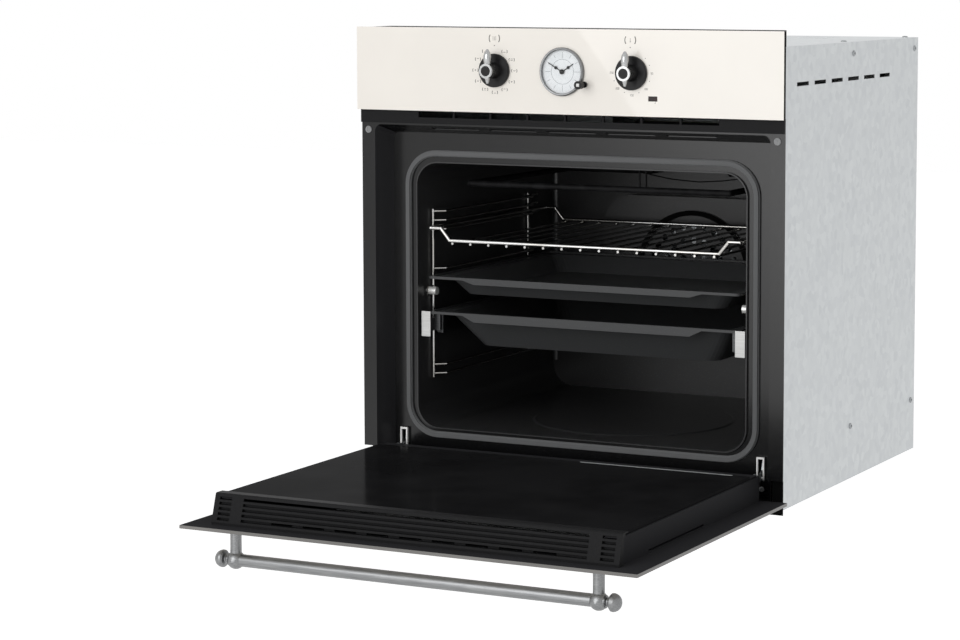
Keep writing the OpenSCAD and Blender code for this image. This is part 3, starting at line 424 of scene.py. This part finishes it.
def thin_glass(name, dark, light, alpha):
    # Thin flat pane: a share of it is seen, and the rest lets what is behind show through.
    # A film of dust in patches of 9 mm keeps it from looking empty
    material, tree, shader, place = new_finish(
        name, light, Roughness=0.03, IOR=1.5, Alpha=alpha)
    dust = add_node(tree, "TexNoise", {"Vector": place, "Scale": per_mm(9), "Detail": 4.0})
    two_tone(tree, shader, dust.outputs[0], dark, light)
    return material


def dark_glass():
    # Coated and printed pane: a deep dark tone, with the faint smears that a cloth leaves
    # in strokes of 120 mm
    material, tree, shader, place = new_finish(
        "Door_glass_with_black_fired_print", "#1d1d1e", IOR=1.5, Specular_IOR_Level=0.0008)
    smear = add_node(tree, "TexNoise", {"Vector": place, "Scale": per_mm(120), "Detail": 4.0})
    two_tone(tree, shader, smear.outputs[0], "#1b1b1c", "#232324")
    vary_roughness(tree, shader, smear.outputs[0], 0.08, 0.2)
    return material


FINISHES["clear_glass"] = thin_glass(
    "Mineral_glass_polished_clear", "#eef3f4", "#f9fbfb", 0.03)
FINISHES["tinted_glass"] = thin_glass(
    "Float_glass_with_a_dark_tint", "#141618", "#1b1d1f", 0.7)
FINISHES["lamp_glass"] = thin_glass(
    "Borosilicate_lamp_cover_moulded", "#b9bfc0", "#c8cdce", 0.5)
FINISHES["dark_glass"] = dark_glass()
# A pale opaque strip as a painted highlight on the inner pane's border.
FINISHES["pane_edge_highlight"] = thin_glass(
    "Painted_highlight_on_the_inner_pane_border", "#c3c7c8", "#d0d4d5", 1.0)
print("panes:", FINISHES["clear_glass"].name, FINISHES["dark_glass"].name)

# %% [markdown]
# Fibres and the dial
#
# The gasket is a braided sleeve of glass fibre, and the wool round the muffle is the
# usual resin-bound rock wool. Their strands could be modelled, but at this distance they
# are finer than a pixel, so a weave and a tangle in the bump are enough. The dial is
# lacquered sheet, cool and flat beside the warm enamel round it.

# %% Gasket, wool and dial


def gasket_fibre():
    # Braided sleeve: dull grey with a fine diagonal weave. Its strands are about 1 mm
    # wide, drawn at 2.5 mm so that they show. A diagonal wave's angle grows by 10 for
    # each step of one, so a scale of a tenth of a full turn gives one wave a step
    material, tree, shader, place = new_finish(
        "Glass_fibre_gasket_braided", "#5f6061", Roughness=0.8, Sheen_Weight=0.2)
    braid = add_node(
        tree,
        "TexWave",
        {"Vector": place, "Scale": per_mm(2.5) * math.tau / 10, "Distortion": 1.0},
        bands_direction="DIAGONAL",
    )
    two_tone(tree, shader, braid.outputs[0], "#58595a", "#666768", 0.1, 0.9)
    raise_surface(tree, shader, braid.outputs[0], 0.15)
    return material


def mineral_wool():
    # Rock wool: matt straw-green felt, its fibres tangled every way. A fibre is far below
    # 0.1 mm, so only the tufts of 4 mm are drawn
    material, tree, shader, place = new_finish(
        "Rock_wool_resin_bound", "#a89c70", Roughness=0.95, Sheen_Weight=0.4)
    tufts = {"Vector": place, "Scale": per_mm(4), "Detail": 8.0, "Distortion": 1.5}
    fibres = add_node(tree, "TexNoise", tufts)
    two_tone(tree, shader, fibres.outputs[0], "#83784f", "#bcb084", 0.3, 0.7)
    raise_surface(tree, shader, fibres.outputs[0], 1.2)
    return material


def dial_white():
    # Lacquered sheet: cool, flat white with hardly any gloss, clouded over 7 mm
    material, tree, shader, place = new_finish(
        "White_dial_lacquered_sheet", "#eef2f4", Roughness=0.45)
    grain = add_node(tree, "TexNoise", {"Vector": place, "Scale": per_mm(7), "Detail": 3.0})
    two_tone(tree, shader, grain.outputs[0], "#ecf0f2", "#f2f5f7")
    return material


for make in (gasket_fibre, mineral_wool, dial_white):
    FINISHES[make.__name__] = make()
    print("finish:", FINISHES[make.__name__].name)

# %% [markdown]
# Dressing the CAD solids
#
# The record names a material slot for every node, so the finishes go on by slot, and
# a short list names the nodes whose finish is a variety of their slot's. Sheet metal
# never has a knife edge. A bevel modifier rounds the sharp edges of each solid so that
# they catch the light, and the mesh below it stays as the CAD model made it.

# %% Give each node its finish and its edges
NODE_FINISH = {
    "cavity_liner": "muffle_enamel",
    "fan_cover": "muffle_enamel",
    "shallow_tray": "tray_enamel",
    "deep_tray": "tray_enamel",
    "door_side_frames": "matt_enamel",
    "door_bottom_rail": "matt_enamel",
    "lower_crossmember": "matt_black_and_painted_shade",
    # The panel's support box is black as painted shade, so that its top shows as a dark line over
    # the front sheet.
    "panel_support": "matt_black_and_painted_shade",
    "hour_hand": "matt_black_and_painted_shade",
    "minute_hand": "matt_black_and_painted_shade",
    "latch_left": "latch_wire",
    "latch_right": "latch_wire",
    "rack_nuts": "latch_wire",
    "runner_channels": "shaded_rail_steel",
    "runner_middle": "shaded_rail_steel",
    "runner_inner": "shaded_rail_steel",
    "door_window": "tinted_glass",
    "door_middle_glass": "tinted_glass",
    "oven_lamp": "lamp_glass",
}
EDGE_MM = {"cream_enamel": 0.5, "black_enamel": 0.6, "galvanised": 0.2}
OTHER_EDGE_MM = 0.3
NO_EDGE = {"clear_glass", "chrome_wire", "heater_tube"}
SHARP_DEG = 40


def dress(node, slot):
    """Finish and a narrow rounded edge on one CAD node."""
    piece = frame["nodes"][node]
    piece.data.materials.clear()
    piece.data.materials.append(FINISHES[NODE_FINISH.get(node, slot)])
    if slot in NO_EDGE:
        return
    edge = piece.modifiers.new("edge", "BEVEL")
    edge.width = EDGE_MM.get(slot, OTHER_EDGE_MM) / 1000
    edge.segments = 2
    edge.limit_method = "ANGLE"
    edge.angle_limit = math.radians(SHARP_DEG)


for part in record["subparts"]:
    dress(part["node"], part["material_slot"])
print("dressed:", len(record["subparts"]))

# %% [markdown]
# Measuring the model
#
# The drawings count from the oven's own faces: right of the middle, back from the front
# sheet's face, and up from the base. Blender's origin lies elsewhere, so one function
# turns its metres into drawing millimetres. Two more measure a node's reach and middle,
# which places the small pieces by the solids that carry them.

# %% Helpers to measure nodes
PANEL_TO_MIDDLE_MM = round(-1000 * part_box("control_panel")[0][1], 2)


def drawing_mm(point):
    """Point of the frame in drawing millimetres: right, back and up."""
    return point[0] * 1000, point[1] * 1000 + PANEL_TO_MIDDLE_MM, point[2] * 1000


def span_mm(node):
    """Lowest and highest corner of a node, in drawing millimetres."""
    return [[round(value, 2) for value in drawing_mm(corner)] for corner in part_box(node)]


def middle_mm(node):
    """Middle of a node, in drawing millimetres."""
    return [round((low + high) / 2, 2) for low, high in zip(*span_mm(node))]


print("front sheet:", span_mm("control_panel"))

# %% [markdown]
# Faces with a second finish
#
# Some sheets have two finishes. The door's is cream outside and has only its black ground
# coat inside, and its cut edge is greyer. The front sheet's folded sides are painted black
# as shade, and the runners' stop plates are bright zinc on oiled rails. The fan cover's ring
# and the deck's front part get the same black as painted shade, and the recess sides a
# lighter black as painted light. Each sheet could be split in two pieces, but a second
# material on chosen faces leaves the mesh alone. A test on a face's place and direction
# picks the faces.

# %% Second finishes on chosen faces
FACING = 0.5
FOLD_MM = 1.5
COVER_FACE_MM = 2
STOP_PLATE_MM = 3
FOLD_FROM_MM = span_mm("control_panel")[1][0] - FOLD_MM
COVER_FACE_TO_MM = span_mm("fan_cover")[0][1] + COVER_FACE_MM
STOP_PLATE_TO_MM = span_mm("runner_inner")[0][1] + STOP_PLATE_MM
FAN_HEIGHT_MM = middle_mm("fan_wheel")[2]
COVER_RING_SHADE_MM = (80, 85.5)
RECESS_MM = (12, 44)
DECK_SHADE_TO_MM = 330


def repaint(node, finish, picked):
    """Second finish on the faces for which picked(x, depth, height, direction) holds."""
    mesh = frame["nodes"][node].data
    mesh.materials.append(FINISHES[finish])
    faces = [f for f in mesh.polygons if picked(*drawing_mm(f.center), f.normal)]
    for face in faces:
        face.material_index = len(mesh.materials) - 1
    print(node, "faces in", finish + ":", len(faces))


# Side faces of the front sheet's folds, which are painted black as shade.
def in_fold(x, depth, height, way):
    return abs(way.x) > FACING and abs(x) > FOLD_FROM_MM


# The ring round the fan cover's grille, which takes the matt black as painted shade.
def on_shaded_cover_ring(x, depth, height, way):
    from_axle = math.hypot(x, height - FAN_HEIGHT_MM)
    return COVER_RING_SHADE_MM[0] < from_axle < COVER_RING_SHADE_MM[1] and depth < COVER_FACE_TO_MM


# Side walls of the frame's recess, which take a lighter black as painted light.
def on_recess_side(x, depth, height, way):
    return abs(way.x) > FACING and RECESS_MM[0] < depth < RECESS_MM[1]


repaint("door_panel", "door_back_enamel", lambda x, depth, height, way: way.z > FACING)
repaint("door_panel", "edge_enamel", lambda x, depth, height, way: abs(way.z) <= FACING)
repaint("control_panel", "matt_black_and_painted_shade", in_fold)
# The deck plate's front part is painted black as shade.
repaint("deck_plate", "matt_black_and_painted_shade", lambda x, depth, height, way: depth < DECK_SHADE_TO_MM)
repaint("fan_cover", "matt_black_and_painted_shade", on_shaded_cover_ring)
repaint("front_frame", "recess_lit_enamel", on_recess_side)
repaint("runner_inner", "stop_plate", lambda x, depth, height, way: depth < STOP_PLATE_TO_MM)

# %% [markdown]
# Small pieces
#
# What is too thin or too small for the CAD model is made here, and rides on the body that
# carries it. Ready-made cubes and cylinders would each need trimming. A skin over a row
# of rings gives any of these forms directly, face by face and closed, and a printed line
# is the same thing with four-cornered rings.

# %% Helpers for small pieces
PRINT_THICK_MM = 0.08


def place_mm(x, depth, height):
    """Point of the frame from drawing millimetres."""
    return Vector((x, depth - PANEL_TO_MIDDLE_MM, height)) / 1000


def add_piece(name, finish, body, build):
    """Mesh piece that rides on a body. The build function fills an empty bmesh."""
    shape = bmesh.new()
    build(shape)
    bmesh.ops.recalc_face_normals(shape, faces=shape.faces[:])
    mesh = bpy.data.meshes.new(name)
    shape.to_mesh(mesh)
    shape.free()
    mesh.materials.append(FINISHES[finish])
    piece = bpy.data.objects.new(name, mesh)
    bpy.context.scene.collection.objects.link(piece)
    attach(piece, body)
    print(name, "faces:", len(mesh.polygons))


def add_tube(shape, rings, closed=False):
    """Skin over a row of rings of points, with its ends filled unless the row is closed."""
    rows = [[shape.verts.new(point) for point in ring] for ring in rings]
    pairs = list(zip(rows, rows[1:])) + ([(rows[-1], rows[0])] if closed else [])
    for low, high in pairs:
        for i in range(len(low)):
            j = (i + 1) % len(low)
            shape.faces.new((low[i], low[j], high[j], high[i]))
    if not closed:
        shape.faces.new(rows[0])
        shape.faces.new(rows[-1])


def add_line(shape, points, width_mm, front_mm, thick_mm=PRINT_THICK_MM):
    """Printed line through points (x, height), as a thin ribbon whose face is at a depth."""
    rings = []
    for i, point in enumerate(points):
        before = Vector(points[max(i - 1, 0)])
        after = Vector(points[min(i + 1, len(points) - 1)])
        along = (after - before).normalized() * width_mm / 2
        x, height = point
        rings.append([
            place_mm(x - along[1] * side, front_mm + back, height + along[0] * side)
            for side, back in ((1, 0), (-1, 0), (-1, thick_mm), (1, thick_mm))])
    add_tube(shape, rings)


def on_circle(x, height, radius_mm, clock_deg):
    """Point of a circle on the front, at an angle clockwise from straight up."""
    angle = math.radians(clock_deg)
    return x + radius_mm * math.sin(angle), height + radius_mm * math.cos(angle)


print("a printed line is", PRINT_THICK_MM, "mm thick")

# %% [markdown]
# Marks of the function knob
#
# The marks round the knobs are screen printed in a dark enamel and fired. These are plain
# signs in brackets, in the places and at the size that such marks have, so they read as
# fine grey print from a few metres away. A loop goes round the knob at every twelfth of
# a turn and takes the signs in order. The top is left free for the knob's zero.

# %% Marks of the function knob
PRINT_FRONT_MM = -0.05
FUNCTION_X_MM, _, KNOB_HEIGHT_MM = middle_mm("function_knob")
MARK_CIRCLE_MM = 27.8
MARK_HALF_MM = (3.9, 2.0)
MARK_BRACKET_LINE_MM = 0.75
MARK_LINE_MM = 0.5
SIGN_WIDER = 1.3
SIGNS = [
    [[(-1.2, 0.9), (1.2, 0.9)]],
    [[(-1.2, -0.9), (1.2, -0.9)]],
    [[(-1.2, 0.9), (1.2, 0.9)], [(-1.2, -0.9), (1.2, -0.9)]],
    [[(-1.2, -0.6), (-0.4, 0.7), (0.4, -0.6), (1.2, 0.7)]],
    [[(-1.0, 0.0), (1.0, 0.0)], [(0.0, -1.0), (0.0, 1.0)]],
]
BRACKET_CURVE = ((0.82, 1), (0.97, 0.45), (1, 0), (0.97, -0.45), (0.82, -1))


def add_brackets(shape, x, height, half_w, half_h, width_mm):
    """A pair of round brackets about a point."""
    for side in (-1, 1):
        curve = [(x + side * half_w * a, height + half_h * b) for a, b in BRACKET_CURVE]
        add_line(shape, curve, width_mm, PRINT_FRONT_MM)


def function_marks(shape):
    for i in range(1, 12):
        x, height = on_circle(FUNCTION_X_MM, KNOB_HEIGHT_MM, MARK_CIRCLE_MM, 30 * i)
        add_brackets(shape, x, height, *MARK_HALF_MM, MARK_BRACKET_LINE_MM)
        for line in SIGNS[i % len(SIGNS)]:
            points = [(x + a * SIGN_WIDER, height + b) for a, b in line]
            add_line(shape, points, MARK_LINE_MM, PRINT_FRONT_MM)


add_piece("function_marks", "print_ink", "oven", function_marks)

# %% [markdown]
# Scale of the thermostat knob
#
# The thermostat's scale has a number at every 50 degrees and dots between them. Blender
# could set the numbers in a font, but a font's outline has hundreds of points. At two
# millimetres high a printed digit is little more than a few strokes, so the digits are
# drawn as strokes on a small grid, two steps wide and four high.

# %% Scale of the thermostat knob
THERMOSTAT_X_MM = middle_mm("thermostat_knob")[0]
DIGITS = {
    "0": [(0, 0), (2, 0), (2, 4), (0, 4), (0, 0)],
    "1": [(0.4, 3.2), (1.2, 4), (1.2, 0)],
    "2": [(0, 4), (2, 4), (2, 2), (0, 2), (0, 0), (2, 0)],
    "5": [(2, 4), (0, 4), (0, 2), (2, 2), (2, 0), (0, 0)],
}
GRID_MM = 0.6
DIGIT_LINE_MM = 0.34
NUMBER_CIRCLE_MM = 27.4
DOT_CIRCLE_MM = 26
DOT_MM = 0.9


def add_number(shape, text, x, height):
    """Number in stroked digits, centred on a point."""
    start = x - (3 * len(text) - 1) * GRID_MM / 2
    for i, digit in enumerate(text):
        path = [
            (start + (3 * i + a) * GRID_MM, height + (b - 2) * GRID_MM) for a, b in DIGITS[digit]]
        add_line(shape, path, DIGIT_LINE_MM, PRINT_FRONT_MM)


def thermostat_marks(shape):
    for i, text in enumerate(("50", "100", "150", "200", "250")):
        x, height = on_circle(THERMOSTAT_X_MM, KNOB_HEIGHT_MM, NUMBER_CIRCLE_MM, 90 + 45 * i)
        add_number(shape, text, x, height)
    for clock_deg in (45, 67.5, 112.5, 157.5, 202.5, 247.5):
        x, height = on_circle(THERMOSTAT_X_MM, KNOB_HEIGHT_MM, DOT_CIRCLE_MM, clock_deg)
        ends = [(x - DOT_MM / 2, height), (x + DOT_MM / 2, height)]
        add_line(shape, ends, DOT_MM, PRINT_FRONT_MM)


add_piece("thermostat_marks", "print_ink", "oven", thermostat_marks)

# %% [markdown]
# Signs over the knobs
#
# Over each knob stands one larger sign in brackets with a dot below it, and a small hook
# stands beside the lamp's window. They are fired print like the marks. Each could be a
# decal on a card, but a card's edge shows at a flat angle. So they are made of the same
# lines and brackets, only larger, and the signs are placed from the knobs' middles.

# %% Signs over the knobs and at the window
SIGN_UP_MM = 40.5
DOT_UP_MM = 31.5
SIGN_HALF_MM = (7.4, 4.6)
SIGN_BRACKET_LINE_MM = 1.1
SIGN_LINE_MM = 0.4
SIGN_DOT_MM = 1.2
FUNCTION_SIGN_LEFT_MM = 0.5
THERMOSTAT_SIGN_LEFT_MM = 2.0
WINDOW_HOOK_MM = [(126.6, 509.6), (127.6, 509.6), (127.6, 504.4), (126.6, 504.4)]
THREE_BARS = [[(a, -2.6), (a, 2.6)] for a in (-2.0, 0.0, 2.0)]
BAR_ON_BASE = [[(0, -1.0), (0, 2.4)], [(-0.8, -2.2), (0.8, -2.2)], [(-0.8, -1.4), (0.8, -1.4)]]


def knob_signs(shape):
    sign_height = KNOB_HEIGHT_MM + SIGN_UP_MM
    dot_height = KNOB_HEIGHT_MM + DOT_UP_MM
    for x, lines in (
        (FUNCTION_X_MM - FUNCTION_SIGN_LEFT_MM, THREE_BARS),
        (THERMOSTAT_X_MM - THERMOSTAT_SIGN_LEFT_MM, BAR_ON_BASE),
    ):
        add_brackets(shape, x, sign_height, *SIGN_HALF_MM, SIGN_BRACKET_LINE_MM)
        for line in lines:
            points = [(x + a, sign_height + b) for a, b in line]
            add_line(shape, points, SIGN_LINE_MM, PRINT_FRONT_MM)
        ends = [(x + side * SIGN_DOT_MM / 2, dot_height) for side in (-1, 1)]
        add_line(shape, ends, SIGN_DOT_MM, PRINT_FRONT_MM)
    add_line(shape, WINDOW_HOOK_MM, SIGN_LINE_MM, PRINT_FRONT_MM)


add_piece("knob_signs", "print_ink", "oven", knob_signs)

# %% [markdown]
# Print on the dial
#
# The dial has a fine grey ring and a stroke for each hour, longer at the quarters. The
# print could be a texture on the dial, but thin pieces need no unwrapping. It lies close
# over the dial's face, behind the hands, and a loop places the strokes at their hours.

# %% Print on the dial
DIAL_PRINT_MM = -0.12
INK_THICK_MM = 0.05
RING_MM = (15.3, 15.7)
STROKE_OUTER_MM = 24.4
HOUR_INNER_MM = 19.5
QUARTER_INNER_MM = 16.6
STROKE_LINE_MM = 0.4


def dial_print(shape):
    middle_x, _, middle_height = middle_mm("clock_case")
    inside, outside = RING_MM
    rings = []
    for i in range(72):
        ring = []
        for radius, back in (
            (outside, 0), (inside, 0), (inside, INK_THICK_MM), (outside, INK_THICK_MM)
        ):
            x, height = on_circle(middle_x, middle_height, radius, 5 * i)
            ring.append(place_mm(x, DIAL_PRINT_MM + back, height))
        rings.append(ring)
    add_tube(shape, rings, closed=True)
    for hour in range(12):
        inner = QUARTER_INNER_MM if hour % 3 == 0 else HOUR_INNER_MM
        ends = [
            on_circle(middle_x, middle_height, radius, 30 * hour)
            for radius in (inner, STROKE_OUTER_MM)]
        add_line(shape, ends, STROKE_LINE_MM, DIAL_PRINT_MM, INK_THICK_MM)


add_piece("dial_print", "dial_ink", "oven", dial_print)

# %% [markdown]
# Inset of the clock's knob
#
# The setting knob ends in a small square inset of light metal. It is let into the
# plastic, and its rim is broken so that it isn't sharp to a finger. A cube with a bevel
# would do, but three eight-cornered rings give the plate, its cut corners and its chamfer
# in one skin. It rides on the knob, so it turns with it.

# %% Square inset of the clock's knob
# Each ring of the inset is so far out of the knob's face, and so far in from its rim
INSET_HALF_MM = 2.1
INSET_RINGS_MM = ((-0.2, 0), (0.15, 0), (0.35, 0.25))
CUT_SQUARE = (
    (-1, -0.8), (-0.8, -1), (0.8, -1), (1, -0.8), (1, 0.8), (0.8, 1), (-0.8, 1), (-1, 0.8))


def knob_inset(shape):
    """Small raised plate with chamfered edges, let into the knob's face."""
    knob_x, _, knob_height = middle_mm("clock_knob")
    knob_front = span_mm("clock_knob")[0][1]
    rings = []
    for out, inward in INSET_RINGS_MM:
        half = INSET_HALF_MM - inward
        rings.append([
            place_mm(knob_x + a * half, knob_front - out, knob_height + b * half)
            for a, b in CUT_SQUARE])
    add_tube(shape, rings)


add_piece("clock_knob_inset", "inset_metal", "clock_knob", knob_inset)

# %% [markdown]
# Floors of the bushes
#
# The two grey bushes in the flange take the screws that hold the oven in its cabinet.
# They are moulded with a thin floor that the screw breaks through, so an unused bush
# looks closed. A flat disc would do for the eye, but a thin slab is a closed form.

# %% Floors of the fixing bushes
BUSH_RADIUS_MM = 4.5
FLOOR_RADIUS_MM = 2.3
FLOOR_DEPTHS_MM = (8.6, 9.0)


def bush_floors(shape):
    """Thin floor low in each bush, which the fixing screw breaks through."""
    bush_x = span_mm("fixing_bushes")[1][0] - BUSH_RADIUS_MM
    bush_height = middle_mm("fixing_bushes")[2]
    for side in (-1, 1):
        outline = [
            on_circle(side * bush_x, bush_height, FLOOR_RADIUS_MM, 15 * i) for i in range(24)]
        rings = [
            [place_mm(x, depth, height) for x, height in outline] for depth in FLOOR_DEPTHS_MM]
        add_tube(shape, rings)


add_piece("bush_floors", "grey_bush", "oven", bush_floors)

# %% [markdown]
# Screws
#
# The frame is held to the body by two screws below the hinges, and the galvanised sheets
# are screwed together at their edges. Each is a flat pan head with a six-lobed socket,
# which is what an assembly line's driver needs. The head could be cut out of a cylinder,
# but a profile that is turned round the screw's own axis stays clean, and one function
# with a direction serves every side.

# %% Screws of the frame and the casings
# Each point of the head has its reach from the axis and its height, as shares of the
# head's radius and height. A reach of none stands for the outline of the lobed socket
HEAD_PROFILE = ((1, -0.1), (1, 0.35), (0.86, 0.75), (0.55, 1), (None, 1), (None, 0.35))
FRAME_SCREW_MM = (3.5, 1.6)
CASING_SCREW_MM = (4, 1.8)
FRAME_SCREW_X_MM = 253.7
FRAME_SCREW_HEIGHT_MM = 26
SCREW_DEPTHS_MM = (30, 290, 530)
SIDE_HEIGHTS_MM = (70, 560)
REAR_HEIGHTS_MM = (30, 290, 560)
EDGE_TO_SCREW_MM = 14


def add_screw(shape, centre, facing, radius_mm, high_mm):
    """Pan head with a lobed socket. Its under side lies on the sheet at the centre."""
    turn = Vector(facing).to_track_quat("Z", "Y").to_matrix()
    rings = []
    for reach, high in HEAD_PROFILE:
        ring = []
        for i in range(24):
            angle = math.tau * i / 24
            out = (reach or 0.4 + 0.06 * math.cos(6 * angle)) * radius_mm
            local = Vector((out * math.cos(angle), out * math.sin(angle), high * high_mm))
            ring.append(centre + turn @ local / 1000)
        rings.append(ring)
    add_tube(shape, rings)


def frame_screws(shape):
    sill_back = span_mm("lower_crossmember")[1][1]
    for side in (-1, 1):
        centre = place_mm(side * FRAME_SCREW_X_MM, sill_back, FRAME_SCREW_HEIGHT_MM)
        add_screw(shape, centre, (0, -1, 0), *FRAME_SCREW_MM)


def casing_screws(shape):
    half_width, rear, top = span_mm("side_casings")[1]
    inner_x = half_width - EDGE_TO_SCREW_MM
    for side in (-1, 1):
        spots = [
            ((half_width, depth, height), (side, 0, 0))
            for depth in SCREW_DEPTHS_MM for height in SIDE_HEIGHTS_MM]
        spots += [((inner_x, rear, height), (0, 1, 0)) for height in REAR_HEIGHTS_MM]
        spots += [((inner_x, depth, top), (0, 0, 1)) for depth in SCREW_DEPTHS_MM]
        for (x, depth, height), facing in spots:
            add_screw(shape, place_mm(side * x, depth, height), facing, *CASING_SCREW_MM)


add_piece("frame_screws", "grey_bush", "oven", frame_screws)
add_piece("casing_screws", "steel", "oven", casing_screws)

# %% [markdown]
# Border of the inner pane
#
# A thin bright line along the door's inner pane beside the hinge is a painted highlight: a
# pale, opaque border on the pane's edge. It could be painted on the pane by a second finish,
# but the pane's face is one large polygon, so a very thin slab lies on it instead. It stands
# so little proud that the closed door's pane still clears the gasket.

# %% Painted highlight on the pane's border
BORDER_IN_MM = 1.8
BORDER_ENDS_MM = ((32, 1.0), (34, 1.6), (237, 1.6), (239, 1.0))
BORDER_UP_MM = 0.2
BORDER_DOWN_MM = 0.3


def pane_border(shape):
    """Painted highlight along the inner pane's border beside the hinge."""
    _, edge_depth, top = span_mm("door_inner_glass")[1]
    rings = []
    for x, half in BORDER_ENDS_MM:
        front, back = (edge_depth - BORDER_IN_MM + way * half for way in (-1, 1))
        rings.append([
            place_mm(x, depth, top + up)
            for depth, up in (
                (front, BORDER_UP_MM), (back, BORDER_UP_MM),
                (back, -BORDER_DOWN_MM), (front, -BORDER_DOWN_MM))])
    add_tube(shape, rings)


add_piece("pane_border_highlight", "pane_edge_highlight", "door", pane_border)

# %% [markdown]
# Seams and the sensor's tube
#
# The muffle's rear wall meets its sides in a rounded seam. Its enamel is drawn lighter than
# the muffle's as a painted highlight, which shows as a thin upright line. The temperature
# sensor's thin tube hangs across the top of the rear wall in a shallow curve. The tube could
# be a curve with a round bevel, but both are skins over rings again: a quarter round for the
# seam, and a circle that is carried along a few points for the tube.

# %% Seams and the sensor's tube
LINER_MM = 1.5
MOUTH_LIP_MM = 10
LINER_X_MM, LINER_REAR_MM, _ = span_mm("cavity_liner")[1]
CAVITY_X_MM = LINER_X_MM - MOUTH_LIP_MM
CAVITY_REAR_MM = LINER_REAR_MM - LINER_MM
SEAM_HEIGHTS_MM = (106, 384)
SEAM_RADIUS_MM = 7.0
SEAM_INTO_WALL_MM = 0.2
TUBE_RADIUS_MM = 0.8
TUBE_PATH_MM = (
    (-96, 385), (-77, 379), (-45, 374), (-5, 371.5), (30, 374), (57.5, 378), (75, 382))


def rear_seams(shape):
    for side in (-1, 1):
        rings = []
        for height in SEAM_HEIGHTS_MM:
            ring = [place_mm(
                side * (CAVITY_X_MM + SEAM_INTO_WALL_MM),
                CAVITY_REAR_MM + SEAM_INTO_WALL_MM,
                height)]
            for i in range(9):
                angle = math.radians(90 * i / 8)
                ring.append(place_mm(
                    side * (CAVITY_X_MM - SEAM_RADIUS_MM + SEAM_RADIUS_MM * math.cos(angle)),
                    CAVITY_REAR_MM - SEAM_RADIUS_MM + SEAM_RADIUS_MM * math.sin(angle),
                    height))
            rings.append(ring)
        add_tube(shape, rings)


def sensor_tube(shape):
    rings = []
    for x, height in TUBE_PATH_MM:
        ring = []
        for i in range(10):
            angle = math.tau * i / 10
            ring.append(place_mm(
                x,
                CAVITY_REAR_MM - TUBE_RADIUS_MM + TUBE_RADIUS_MM * math.sin(angle),
                height + TUBE_RADIUS_MM * math.cos(angle)))
        rings.append(ring)
    add_tube(shape, rings)


add_piece("cavity_rear_seams", "seam_highlight_enamel", "oven", rear_seams)
add_piece("sensor_tube", "heater_tube", "oven", sensor_tube)

# %% [markdown]
# The floor
#
# The photograph's background is white all round, with no shadow beside the oven. The oven
# is made for a cabinet well above the floor, so the pale floor lies far under it and its
# soft shadow falls out of the picture. More light on the floor would make it whiter, but
# would also wash out the oven. A glow that only the camera, reflections and glass see
# leaves the oven's light alone.

# %% Floor
FLOOR_DROP_M = 0.55
FLOOR_SIZE_M = 24.0


def seen_directly(tree):
    """One for rays of the camera, of reflections and through glass, and zero for light."""
    path = add_node(tree, "LightPath").outputs
    rays = {0: path["Is Camera Ray"], 1: path["Is Glossy Ray"]}
    seen = add_node(tree, "Math", rays, operation="ADD").outputs[0]
    rays = {0: seen, 1: path["Is Transmission Ray"]}
    return add_node(tree, "Math", rays, operation="ADD").outputs[0]


def make_floor(glow):
    # Painted plaster, matt and white, with a faint mottle in patches of 400 mm
    mesh = bpy.data.meshes.new("floor")
    half = FLOOR_SIZE_M / 2
    corners = [(-half, -half, 0), (half, -half, 0), (half, half, 0), (-half, half, 0)]
    mesh.from_pydata(corners, [], [(0, 1, 2, 3)])
    floor = bpy.data.objects.new("floor", mesh)
    floor.location = (0, 0, -FLOOR_DROP_M)
    bpy.context.scene.collection.objects.link(floor)
    material, tree, shader, place = new_finish(
        "Floor_painted_white_matt", "#fafafa", Roughness=0.9)
    mottle = add_node(tree, "TexNoise", {"Vector": place, "Scale": per_mm(400), "Detail": 2.0})
    two_tone(tree, shader, mottle.outputs[0], "#f9f9f9", "#fcfcfc")
    shader.inputs["Emission Color"].default_value = linear("#ffffff")
    level = add_node(tree, "MapRange", {"Value": seen_directly(tree), "To Max": glow})
    tree.links.new(level.outputs[0], shader.inputs["Emission Strength"])
    floor.data.materials.append(material)


make_floor(glow=0.5)
print("floor", FLOOR_DROP_M, "m under the oven")

# %% [markdown]
# Light and background
#
# One large soft box stands nearly three metres to the left of the camera. A sun lamp
# would light the oven as evenly, but wouldn't be seen in it: the tilted edge mirrors in
# the front as a faint diagonal, and the box makes the right side of the black frame
# shine more than the left. The world behind it is white to the eye and softer as fill
# light.

# %% Soft box and background


def make_soft_box(name, middle, edge_way, width_m, length_m, watts):
    """Area lamp that faces into the scene, its long side along edge_way."""
    data = bpy.data.lights.new(name, "AREA")
    data.shape = "RECTANGLE"
    data.size, data.size_y = width_m, length_m
    data.energy = watts
    lamp = bpy.data.objects.new(name, data)
    up = Vector(edge_way).normalized()
    back = Vector((0, -1, 0))
    turn = Matrix((up.cross(back), up, back)).transposed().to_4x4()
    lamp.matrix_world = Matrix.Translation(middle) @ turn
    lamp.visible_camera = False
    bpy.context.scene.collection.objects.link(lamp)
    print(name + ":", width_m, "by", length_m, "m,", watts, "W")


def make_background(fill):
    """White for the camera, reflections and glass, and a softer white as fill light."""
    world = bpy.data.worlds.new("studio")
    world.use_nodes = True
    tree = world.node_tree
    background = tree.nodes["Background"]
    background.inputs["Color"].default_value = linear("#ffffff")
    strength = {"Value": seen_directly(tree), "To Min": fill, "To Max": 1.0}
    level = add_node(tree, "MapRange", strength)
    tree.links.new(level.outputs[0], background.inputs["Strength"])
    bpy.context.scene.world = world


make_soft_box(
    "key_soft_box",
    middle=(-1.05, -4.5, 1.66),
    edge_way=(-0.605, 0, 0.796),
    width_m=3.0,
    length_m=3.4,
    watts=91,
)
make_background(fill=0.52)
bpy.context.scene.view_settings.view_transform = "Standard"
